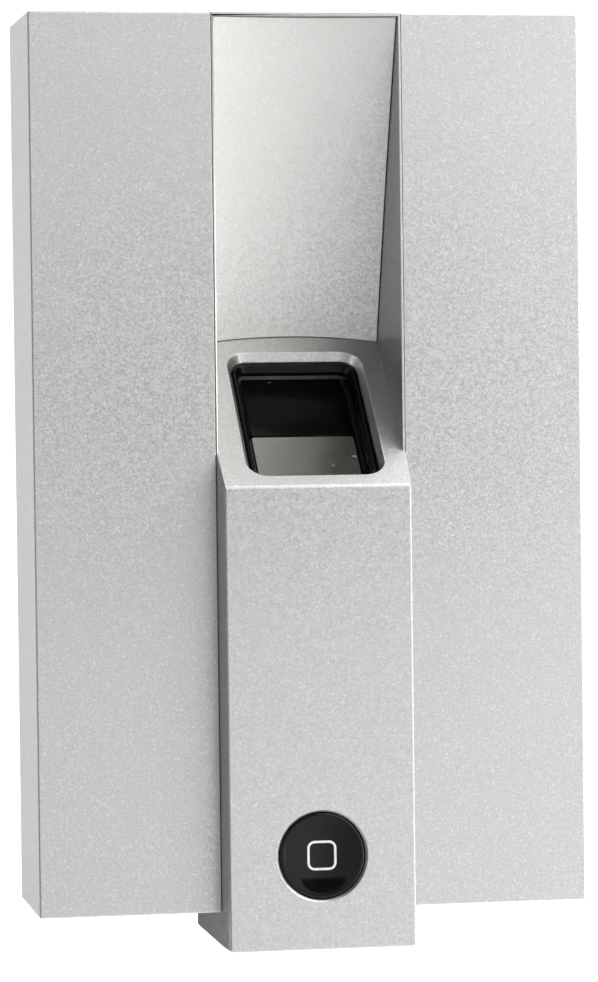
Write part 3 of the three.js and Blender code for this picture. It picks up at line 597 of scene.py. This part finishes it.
def rounded(width, height, radius, centre=(0, 0), steps=8):
    """A rectangle with round corners, as points."""
    right, top = width / 2 - radius, height / 2 - radius
    corners = [(right, top), (-right, top), (-right, -top), (right, -top)]
    return [
        (
            centre[0] + x + radius * math.cos((quarter + step / steps) * math.pi / 2),
            centre[1] + y + radius * math.sin((quarter + step / steps) * math.pi / 2),
        )
        for quarter, (x, y) in enumerate(corners)
        for step in range(steps + 1)
    ]


def obround(width, height, centre=(0, 0)):
    """A slot with round ends."""
    return rounded(width, height, min(width, height) / 2 - 1e-3, centre, 12)


def circle(radius, centre=(0, 0), sides=48):
    turns = [2 * math.pi * i / sides for i in range(sides)]
    return [(centre[0] + radius * math.cos(t), centre[1] + radius * math.sin(t)) for t in turns]


def lofted(loops, ring=False):
    """A solid through loops of equal length: capped at its ends, or closed into a ring."""
    count, levels = len(loops[0]), len(loops)
    points = [p for loop in loops for p in loop]
    faces = []
    for level in range(levels if ring else levels - 1):
        low, high = level * count, (level + 1) % levels * count
        faces += [(low + i, low + (i + 1) % count, high + (i + 1) % count, high + i) for i in range(count)]
    if not ring:
        faces += [tuple(range(count)), tuple(range((levels - 1) * count, levels * count))]
    return new_piece(points, faces)


def turned(profile, centre, place=along_y, sides=96):
    """A profile of (radius, distance) pairs turned about an axis through centre."""
    loops = [[place(*p, distance) for p in circle(radius, centre, sides)] for radius, distance in profile]
    return lofted(loops)


def apply_modifiers(piece):
    """Replaces a piece's mesh by what its modifiers make of it."""
    graph = bpy.context.evaluated_depsgraph_get()
    mesh = bpy.data.meshes.new_from_object(piece.evaluated_get(graph))
    piece.modifiers.clear()
    piece.data = mesh


def combine(piece, operation, tools):
    """Applies each tool to the piece by an exact boolean, and removes the tool."""
    for tool in tools:
        modifier = piece.modifiers.new("combine", "BOOLEAN")
        modifier.operation, modifier.solver, modifier.object = operation, "EXACT", tool
        apply_modifiers(piece)
        bpy.data.objects.remove(tool)
    return piece


def cut(piece, *tools):
    return combine(piece, "DIFFERENCE", tools)


def join(piece, *tools):
    return combine(piece, "UNION", tools)


def clean(piece, levels=()):
    """Welds the mesh, merges coplanar faces, and splits them at some heights so that none bends round."""
    work = bmesh.new()
    work.from_mesh(piece.data)
    bmesh.ops.remove_doubles(work, verts=work.verts, dist=0.002)
    bmesh.ops.dissolve_limit(work, angle_limit=math.radians(0.3), verts=work.verts, edges=work.edges)
    for level in levels:
        everything = [*work.verts, *work.edges, *work.faces]
        bmesh.ops.bisect_plane(work, geom=everything, dist=1e-4, plane_co=(0, 0, level), plane_no=(0, 0, 1))
    work.to_mesh(piece.data)
    work.free()
    return piece


SHARP = math.radians(20)


def round_edges(piece, width_at, segments=3):
    """Rounds each sharp outer edge by the width in millimetres that width_at gives for its middle."""
    work = bmesh.new()
    work.from_mesh(piece.data)
    weight = work.edges.layers.float.new("bevel_weight_edge")
    widths = {}
    for edge in work.edges:
        if edge.calc_face_angle(0) > SHARP:
            middle = (edge.verts[0].co + edge.verts[1].co) / 2
            widths[edge] = width_at(middle) if edge.is_convex else 0
    widest = max(widths.values())
    for face in work.faces:
        face.smooth = True
    for edge, width in widths.items():
        edge[weight] = width / widest
        edge.smooth = width > 0
    work.to_mesh(piece.data)
    work.free()
    modifier = piece.modifiers.new("edges", "BEVEL")
    modifier.limit_method = "WEIGHT"
    modifier.width = widest * MM
    modifier.segments = segments
    modifier.use_clamp_overlap = False
    modifier.harden_normals = True
    return piece


def soften(piece, width, segments=3):
    return round_edges(piece, lambda middle: width, segments)


def place_piece(piece, body, nodes, slot):
    """Scales a finished piece to metres, and gives it a material, a body and the nodes it stands for."""
    piece.data.transform(Matrix.Scale(MM, 4))
    piece.name = piece.data.name = nodes[0] + "_look"
    piece.data.materials.clear()
    piece.data.materials.append(LOOKS[slot])
    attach(piece, body)
    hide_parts(*nodes)


# ------------------------------------------------------------------ case


def screw_places(prefix):
    return [centre_of(f"{prefix}_{number}") for number in (1, 2, 3, 4)]


def make_case():
    """The front casting: five walls, a full-height slot for the column, and the screw bosses."""
    half, top = CASE_HIGH.x, CASE_HIGH.z
    inner_half, inner_top = half - CASE_WALL, top - CASE_WALL
    case = block((-half, half), (CASE_FRONT, 0), (-top, top))
    inside = block((-inner_half, inner_half), (INNER_FRONT, BEYOND), (-inner_top, inner_top))
    before, beneath = CASE_FRONT - BEYOND, -top - BEYOND
    slot = block((-SLOT_HALF, SLOT_HALF), (before, CASE_FRONT + TOP_NOTCH), (beneath, top + BEYOND))
    notch = block((-SLOT_HALF, SLOT_HALF), (before, BEYOND), (beneath, -inner_top + 0.5))
    cut(case, inside, slot, notch)
    # each boss's screws, its radius, where its tip is along Y, and how deep its hole is
    bosses = (
        ("rear_cover_screw", 2.8, box_of("rear_cover")[0].y - 0.3, 8),
        ("board_screw", 2.8, box_of("main_board")[0].y - 0.3, 6),
        ("column_screw", 3.0, INNER_FRONT + 2, 2.7),
    )
    for prefix, radius, tip, depth in bosses:
        for place in screw_places(prefix):
            at = (place.x, place.z)
            join(case, prism(circle(radius, at, 24), along_y, INNER_FRONT - 0.5, tip))
            cut(case, prism(circle(BOSS_HOLE, at, 16), along_y, tip - depth, tip + BEYOND))
    clean(case)

    def width_at(middle):
        at_side = abs(middle.x) > inner_half + 0.5 or abs(middle.z) > inner_top + 0.5
        outside = at_side or middle.y < INNER_FRONT - 0.3
        in_slot = abs(middle.x) < SLOT_HALF + 0.1
        if in_slot and outside:
            return 0.06
        return 0.28 if outside else 0

    round_edges(case, width_at)
    place_piece(case, "case", ["front_housing"], "silver_paint")


# ------------------------------------------------------------------ centre column


def window_outline(grow):
    """The window's outline on the head, grown by a distance."""
    radius = max(WINDOW["radius"] + grow, 0.4)
    size = WINDOW["width"] + 2 * grow, WINDOW["length"] + 2 * grow
    return rounded(*size, radius, (0, WINDOW["middle"]), 10)


def head_loops(profile):
    """Loops around the window, one for each (growth of the outline, height above the head)."""
    return [[on_head(x, along, height) for x, along in window_outline(grow)] for grow, height in profile]


def slope_point(along, out):
    """The (Y, Z) place of a point above the head's surface."""
    return on_head(0, along, out)[1:]


def column_solid():
    """The column's outer body: box, slanted head, channel walls and the flanges behind the case."""
    bottom, top = COLUMN_LOW.z, CASE_HIGH.z
    flange_top = top - CASE_WALL - 0.35
    section = [(-COLUMN_HALF, 0), (-COLUMN_HALF, CASE_FRONT), (-COLUMN_FRONT_HALF, BOX_FRONT)]
    section += [(-x, y) for x, y in reversed(section)]
    back, box_back, board_top = -3.6, -10.5, box_of("main_board")[1].z
    nose_top = INNER_BOTTOM - 0.2
    bar_back = CASE_FRONT + TOP_NOTCH - 0.3
    side = [
        (BOX_FRONT, bottom), (0, bottom), (0, nose_top), (box_back, nose_top),
        (box_back, board_top), (back, board_top), (back, flange_top),
        (bar_back, flange_top), (bar_back, top), (BOX_FRONT, top),
    ]
    body = prism(section, up_z, bottom, top)
    combine(body, "INTERSECT", [prism(side, across_x, *ACROSS)])
    above, foot = top + BEYOND, slope_point(-2, 0)
    over_slope = [foot, (CASE_FRONT, SLOPE_TOP_Z), (CASE_FRONT, above), (BOX_FRONT - 2, above)]
    cut(body, prism(over_slope, across_x, *ACROSS))
    front = INNER_FRONT + 0.3
    flange = [
        (front, -flange_top), (box_back, -flange_top), (box_back, board_top), (back, board_top),
        (back, flange_top), (front, flange_top),
    ]
    return join(body, prism(flange, across_x, -FLANGE_HALF, FLANGE_HALF))


def column_hollows():
    """The finger channel over the slope, and the cavity behind the box and under the slope."""
    top = CASE_HIGH.z - TOP_BAR
    head_top = slope_point(HEAD_LENGTH, 0)
    channel = [
        (CASE_FRONT, SLOPE_TOP_Z), head_top, (BEYOND, head_top[1]),
        (BEYOND, top), (BOX_FRONT - 3, top),
    ]
    front, floor = BOX_FRONT + COLUMN_SKIN, COLUMN_LOW.z + COLUMN_SKIN
    rear_step = INNER_BOTTOM - 0.2
    corner = HEAD_FOOT_Z + COLUMN_SKIN * math.tan(HEAD_ANGLE) - HEAD_SKIN / math.cos(HEAD_ANGLE)
    under = slope_point(HEAD_LENGTH + 4, -HEAD_SKIN)
    cavity = [
        (front, floor), (-COLUMN_SKIN, floor), (-COLUMN_SKIN, rear_step), (BEYOND, rear_step),
        (BEYOND, under[1]), under, (front, corner),
    ]
    inner = COLUMN_HALF - COLUMN_WALL
    return [
        prism(channel, across_x, -CHANNEL_HALF, CHANNEL_HALF),
        prism(cavity, across_x, -inner, inner),
    ]


def window_cutter():
    """The window's opening, with its flared rim."""
    flare, depth = WINDOW_FLARE
    return lofted(head_loops([(0, -2 * HEAD_SKIN), (0, -depth), (flare, 0), (flare * 2, depth)]))


def button_cutter():
    """The button's hole, chamfered at the front."""
    at = (BUTTON_PLACE.x, BUTTON_PLACE.z)
    chamfer = BUTTON_HOLE_CHAMFER
    profile = [
        (BUTTON_HOLE, BOX_FRONT + COLUMN_SKIN + 0.5), (BUTTON_HOLE, BOX_FRONT + chamfer),
        (BUTTON_HOLE + chamfer, BOX_FRONT), (BUTTON_HOLE + 2 * chamfer, BOX_FRONT - chamfer),
    ]
    return turned(profile, at)


def lock_cutters():
    """The lock screw's hole and the recess for its head, in the underside."""
    screw = centre_of("lock_screw")
    at, bottom = (screw.x, screw.y), COLUMN_LOW.z
    return [
        prism(circle(1.6, at, 32), up_z, bottom - 1, bottom + 6),
        prism(circle(3, at), up_z, bottom - 1, bottom + 2.15),
    ]


def column_edge_width(middle):
    """How far each of the column's outer edges is rounded, in millimetres."""
    slope_z = HEAD_FOOT_Z + (middle.y - BOX_FRONT) * math.tan(HEAD_ANGLE)
    in_hole = math.hypot(middle.x - BUTTON_PLACE.x, middle.z - BUTTON_PLACE.z) < BUTTON_HOLE + 1
    if in_hole and middle.y < BOX_FRONT + 1:
        return 0.05
    # the window's rim and the head's top end
    if abs(middle.z - slope_z) < 0.2 and abs(middle.x) < CHANNEL_HALF - 1 and middle.y > BOX_FRONT + 0.5:
        return 0.06
    # the channel's lips, softer at the left one's inner edge, which faces the light; behind them all is sharp
    if middle.y > CASE_FRONT - 0.1 and middle.z > -CASE_HIGH.z:
        on_lip = middle.y < INNER_FRONT and middle.z > slope_z - 0.2
        faces_light = -CHANNEL_HALF - 0.1 < middle.x < 0
        return (0.2 if faces_light else 0.06) if on_lip else 0
    # the underside: a round back edge, and fine edges at the lock screw's recess
    if middle.z < -CASE_HIGH.z and abs(middle.x) < COLUMN_HALF - 0.5 and middle.y > BOX_FRONT + 1:
        return 1.2 if middle.y > -0.1 else 0.1
    # the underside's front and side edges
    if middle.z < COLUMN_LOW.z + 0.1:
        return 0.5
    # the box's and the slope's edges, finer on the right
    return 0.05 if middle.x > COLUMN_FRONT_HALF - 0.1 else 0.3


def make_column():
    """The column's casting: its body, less its hollows, window, button hole and lock screw's hole."""
    body = cut(column_solid(), *column_hollows(), window_cutter())
    screw = centre_of("lock_screw")
    join(body, prism(circle(3.6, (screw.x, screw.y), 32), up_z, COLUMN_LOW.z + 0.5, COLUMN_LOW.z + 4.25))
    cut(body, button_cutter(), *lock_cutters())
    clean(body, [CASE_HIGH.z - TOP_BAR])
    round_edges(body, column_edge_width)
    place_piece(body, "case", ["center_column"], "silver_paint")


# ------------------------------------------------------------------ channel floor


def guide_line():
    """The floor's edge line in Y and Z: its top, direction down the channel, outward normal and length."""
    top = Vector((CASE_FRONT + GUIDE_TOP_DEPTH, CASE_HIGH.z))
    foot = Vector((CASE_FRONT + GUIDE_FOOT[0], GUIDE_FOOT[1]))
    down = (foot - top).normalized()
    return top, down, Vector((down.y, -down.x)), (foot - top).length


def guide_surface(x, along):
    """A point of the floor: hollow across, and slightly hollow along its length."""
    top, down, outward, run = guide_line()
    half = GUIDE_HALF
    radius = (half**2 + GUIDE_SAG**2) / (2 * GUIDE_SAG)
    belly = radius + ((run / 2) ** 2 - (along - run / 2) ** 2) / (2 * GUIDE_LENGTHWISE_RADIUS)
    out = radius - GUIDE_SAG - math.sqrt(belly**2 - x**2)
    point = top + down * along + outward * out
    return Vector((x, point.x, point.y)), Vector((0, outward.x, outward.y))


def height_over_head(point):
    """How far a point is above the head's surface."""
    cos, sin = math.cos(HEAD_ANGLE), math.sin(HEAD_ANGLE)
    return -(point.y - BOX_FRONT) * sin + (point.z - HEAD_FOOT_Z) * cos


def guide_end(x, too_far):
    """How far down the channel the floor first meets a limit, by halving."""
    near, far = 0.0, 60.0
    for _ in range(40):
        middle = (near + far) / 2
        near, far = (near, middle) if too_far(guide_surface(x, middle)[0]) else (middle, far)
    return near


def make_guide():
    """The channel's floor: a thin curved sheet whose ends follow the top bar and the head."""
    columns, rows = 40, 56
    top_z = CASE_HIGH.z - TOP_BAR - 0.05
    front, back = [], []
    for column in range(columns + 1):
        x = GUIDE_HALF * (2 * column / columns - 1)
        start = guide_end(x, lambda p: p.z < top_z)
        end = guide_end(x, lambda p: height_over_head(p) < GUIDE_LIFT)
        points = [guide_surface(x, start + (end - start) * row / rows) for row in range(rows + 1)]
        front.append([p for p, _ in points])
        back.append([p - outward * GUIDE_THICKNESS for p, outward in points])
    stride = rows + 1
    points = [p for strip in front + back for p in strip]
    shift = stride * (columns + 1)
    faces = []
    for c in range(columns):
        for r in range(rows):
            quad = [c * stride + r, (c + 1) * stride + r, (c + 1) * stride + r + 1, c * stride + r + 1]
            faces += [tuple(quad), tuple(i + shift for i in reversed(quad))]
    rim = [c * stride for c in range(columns + 1)]
    rim += [columns * stride + r for r in range(1, rows + 1)]
    rim += [c * stride + rows for c in range(columns - 1, -1, -1)]
    rim += [r for r in range(rows - 1, 0, -1)]
    faces += [(a, b, b + shift, a + shift) for a, b in zip(rim, rim[1:] + rim[:1])]
    guide = new_piece(points, faces)
    soften(guide, 0.12)
    place_piece(guide, "case", ["finger_guide"], "channel_paint")


# ------------------------------------------------------------------ sensor window


def make_window():
    """The black frame in the window, the glass in it, and the grey facet under the glass."""
    crest = [(-0.3, -1.35), (-0.36, -1.24), (-0.48, -1.2), (-0.62, -1.26)]
    slope_inwards = [(-1.02, -1.9), (-1.1, -2.1), (-1.1, -2.45)]
    seat_and_flange = [(-0.1, -2.45), (-0.1, -3.5), (1.1, -3.5), (1.1, -2.1), (-0.3, -2.1)]
    bezel = lofted(head_loops(crest + slope_inwards + seat_and_flange), ring=True)
    soften(bezel, 0.05, 2)
    place_piece(bezel, "case", ["sensor_bezel"], "bezel_black")
    glass = lofted(head_loops([(-0.4, -3.5), (-0.4, -2.6)]))
    soften(glass, 0.04)
    place_piece(glass, "case", ["platen_glass"], "platen_clear")
    diffuser_low, diffuser_high = box_of("light_diffuser")
    start, end = 3.6, 13.0  # along the head
    outline = rounded(diffuser_high.x - diffuser_low.x, end - start, 0.4, (0, (start + end) / 2))
    facet = prism(outline, on_head, -4.1, -3.65)
    soften(facet, 0.06, 2)
    place_piece(facet, "case", ["light_diffuser"], "diffuser_grey")


# ------------------------------------------------------------------ push button


CAP_RADIUS = BUTTON_HOLE - 0.1
DISH_RADIUS = CAP_RADIUS - 0.3


def dish_depth(radius):
    """The dished face's place along Y at a distance from its middle."""
    share = min(radius / DISH_RADIUS, 1.0)
    return BUTTON_RIM + BUTTON_DISH * (1 - share * share)


def make_button_cap():
    """The dished cap, with the flange that holds it behind the column's skin and the stem on the switch."""
    steps, smallest = 24, 0.02
    flange_radius, flange_front, flange_thickness = 6.5, BOX_FRONT + COLUMN_SKIN + 0.3, 0.9
    flange_back, stem_radius = flange_front + flange_thickness, 1.5
    distances = [DISH_RADIUS * step / steps for step in range(steps)]
    face = [(max(distance, smallest), dish_depth(distance)) for distance in distances]
    shoulder = [
        (DISH_RADIUS, BUTTON_RIM), (DISH_RADIUS + 0.1, BUTTON_RIM + 0.01),
        (DISH_RADIUS + 0.21, BUTTON_RIM + 0.06), (CAP_RADIUS, BUTTON_RIM + 0.2),
    ]
    back = [
        (CAP_RADIUS, flange_front), (flange_radius, flange_front), (flange_radius, flange_back),
        (stem_radius, flange_back), (stem_radius, box_of("button_cap")[1].y),
    ]
    cap = turned(face + shoulder + back, (BUTTON_PLACE.x, BUTTON_PLACE.z))
    soften(cap, 0.04, 2)
    place_piece(cap, "button", ["button_cap"], "button_black")


def make_button_icon():
    """A rounded square line that lies on the dish."""
    at = (BUTTON_PLACE.x, BUTTON_PLACE.z)
    size, radius, line = 3.7, 0.95, 0.3
    loops = []
    crown = [(0, 0.0), (0, 0.02), (-0.04, 0.035), (-line + 0.04, 0.035), (-line, 0.02), (-line, 0.0)]
    for grow, lift in crown:
        outline = rounded(size + 2 * grow, size + 2 * grow, radius + grow, at, 10)
        depths = [dish_depth(math.hypot(x - at[0], z - at[1])) + 0.01 - lift for x, z in outline]
        loops.append([(x, y, z) for (x, z), y in zip(outline, depths)])
    icon = lofted(loops, ring=True)
    for polygon in icon.data.polygons:
        polygon.use_smooth = True
    place_piece(icon, "button", ["button_icon"], "icon_grey")


# ------------------------------------------------------------------ back of the terminal


def outline_hole(outline, node):
    """A tool that pierces a node's whole depth."""
    low, high = box_of(node)
    return prism(outline, along_y, low.y - BEYOND, high.y + BEYOND)


def make_rear_cover():
    """The steel cover, pierced for the cable, the bracket's tab and hooks, the plunger and the screws."""
    low, high = box_of("rear_cover")
    outlet = centre_of("cable_grommet")
    tamper = centre_of("tamper_plunger")
    tab_low = box_of("wall_bracket")[0].z
    sheet = prism(rounded(high.x - low.x, high.z - low.z, 0.8), along_y, low.y, high.y)
    holes = [obround(24, 12, (0, outlet.z)), circle(2, (tamper.x, tamper.z))]
    holes.append(rounded(11.2, 2.8, 0.5, (0, tab_low + 0.7)))
    holes += [circle(4.8, (0, side * WALL_SLOT_Z)) for side in BOTH_SIDES]
    holes += [rounded(7.2, 6.4, 0.8, (side * HOOK_X, 45.6)) for side in BOTH_SIDES]
    holes += [circle(1.7, (place.x, place.z), 32) for place in screw_places("rear_cover_screw")]
    cut(sheet, *[outline_hole(hole, "rear_cover") for hole in holes])
    soften(clean(sheet), 0.1, 2)
    place_piece(sheet, "case", ["rear_cover"], "zinc_steel")


def make_bracket():
    """The wall bracket: a pierced sheet with two hooks and a folded lock tab."""
    low, high = box_of("wall_bracket")
    thickness, tab_low = 1.4, low.z
    outlet = centre_of("cable_grommet")
    tamper = centre_of("tamper_plunger")
    screw = centre_of("lock_screw")
    sheet = prism(rounded(high.x - low.x, high.z - low.z, 3), along_y, -thickness, 0)
    holes = [obround(28, 16, (0, outlet.z)), circle(2.2, (tamper.x, tamper.z))]
    holes += [obround(8, 4.4, (0, side * WALL_SLOT_Z)) for side in BOTH_SIDES]
    holes += [rounded(9, 34, 3, (side * 15.5, 8)) for side in BOTH_SIDES]
    cut(sheet, *[outline_hole(hole, "wall_bracket") for hole in holes])
    join(sheet, block((-5, 5), (low.y, -0.1), (tab_low, tab_low + thickness)))
    for side in BOTH_SIDES:
        hook = [(-0.1, 43.5), (-5.5, 43.5), (-5.5, 47.8), (-4.3, 47.8), (-4.3, 44.9), (-0.1, 44.9)]
        join(sheet, prism(hook, across_x, side * HOOK_X - 3, side * HOOK_X + 3))
    screw_hole = circle(1.55, (screw.x, screw.y), 32)
    cut(sheet, prism(screw_hole, up_z, tab_low - BEYOND, tab_low + thickness + BEYOND))
    soften(clean(sheet), 0.15, 2)
    place_piece(sheet, "case", ["wall_bracket"], "zinc_steel")


def make_gasket():
    """The seal round the wall side."""
    low, high = box_of("wall_gasket")
    width, height, thick = high.x - low.x, high.z - low.z, 1.2
    outer, inner = rounded(width, height, 1), rounded(width - 2 * thick, height - 2 * thick, 0.6)
    rings = ((outer, low.y), (outer, high.y), (inner, high.y), (inner, low.y))
    gasket = lofted([[(x, y, z) for x, z in outline] for outline, y in rings], ring=True)
    soften(gasket, 0.3)
    place_piece(gasket, "case", ["wall_gasket"], "rubber_black")


def make_grommet():
    """The rubber ring in the cable outlet, with its lip inside the rear cover."""
    low, high = box_of("cable_grommet")
    centre = (0, (low.z + high.z) / 2)
    lip_back = box_of("rear_cover")[0].y - 0.3
    lip, neck, bore, straight = 26.4, 23.4, 20.6, 12
    rings = ((lip, low.y), (lip, lip_back), (neck, lip_back), (neck, high.y), (bore, high.y), (bore, low.y))
    loops = [[(x, y, z) for x, z in obround(width, width - straight, centre)] for width, y in rings]
    grommet = lofted(loops, ring=True)
    soften(grommet, 0.35)
    place_piece(grommet, "case", ["cable_grommet"], "rubber_black")


def make_cover_screws():
    """Pan-head screws with a cross recess."""
    head_radius, head_height, shank = 2.6, 1.4, 1.2
    arm, half_slot = 1.45, 0.33
    for number in (1, 2, 3, 4):
        name = f"rear_cover_screw_{number}"
        low, high = box_of(name)
        at = ((low.x + high.x) / 2, (low.z + high.z) / 2)
        under = high.y - head_height
        turns = [step * math.pi / 20 for step in range(10)]
        heights = [under + head_height * (0.45 + 0.55 * math.sin(t)) for t in turns]
        dome = [(head_radius * math.cos(t), height) for t, height in zip(turns, heights)]
        shaft = [(0.3, low.y), (shank, low.y + 0.8), (shank, under), (head_radius, under)]
        screw = turned([*shaft, *dome, (0.02, high.y)], at, sides=64)
        for a, b in ((arm, half_slot), (half_slot, arm)):
            depth = (high.y - 0.8, high.y + BEYOND)
            cut(screw, block((at[0] - a, at[0] + a), depth, (at[1] - b, at[1] + b)))
        soften(clean(screw), 0.06, 2)
        place_piece(screw, "case", [name], "screw_steel")


def make_lock_screw():
    """The screw in the underside, with a hexagonal socket."""
    low, high = box_of("lock_screw")
    at = ((low.x + high.x) / 2, (low.y + high.y) / 2)
    head_radius, shank, under = 2.7, 1.25, low.z + 1.4
    profile = [
        (0.02, low.z), (head_radius - 0.3, low.z), (head_radius, low.z + 0.3), (head_radius, under),
        (shank, under), (shank, high.z - 0.4), (shank - 0.4, high.z),
    ]
    screw = turned(profile, at, up_z, 64)
    cut(screw, prism(circle(1.25, at, 6), up_z, low.z - BEYOND, low.z + 0.9))
    soften(clean(screw), 0.06, 2)
    place_piece(screw, "case", ["lock_screw"], "screw_steel")


# ------------------------------------------------------------------ pieces that stay as the CAD has them


def dress_node(name):
    """Gives a CAD node its material, and small rounded edges on its merged faces."""
    node = frame["nodes"][name]
    slot = SLOT_OF[name]
    node.data.materials.clear()
    node.data.materials.append(LOOKS[slot])
    weld = node.modifiers.new("weld", "WELD")
    weld.merge_threshold = 0.002 * MM
    merge = node.modifiers.new("merge", "DECIMATE")
    merge.decimate_type = "DISSOLVE"
    merge.angle_limit = math.radians(1)
    low, high = box_of(name)
    bevel = node.modifiers.new("edges", "BEVEL")
    bevel.width = min(0.12, 0.08 * min(high - low)) * MM
    bevel.segments = 2
    bevel.limit_method = "ANGLE"
    bevel.angle_limit = math.radians(35)
    bevel.harden_normals = True
    for polygon in node.data.polygons:
        polygon.use_smooth = True


SLOT_OF = {part["node"]: part["material_slot"] for part in frame["record"]["subparts"]}


def dress_remaining_nodes():
    """Every CAD node that no piece has replaced."""
    for name, node in sorted(frame["nodes"].items()):
        if not node.hide_render:
            dress_node(name)


# ------------------------------------------------------------------ the scene

add_camera()
add_world()
add_lights()
add_floor()
add_cards()
bpy.context.scene.view_settings.view_transform = "Standard"

make_case()
make_column()
make_guide()
make_window()
make_button_cap()
make_button_icon()
make_rear_cover()
make_bracket()
make_gasket()
make_grommet()
make_cover_screws()
make_lock_screw()
dress_remaining_nodes()
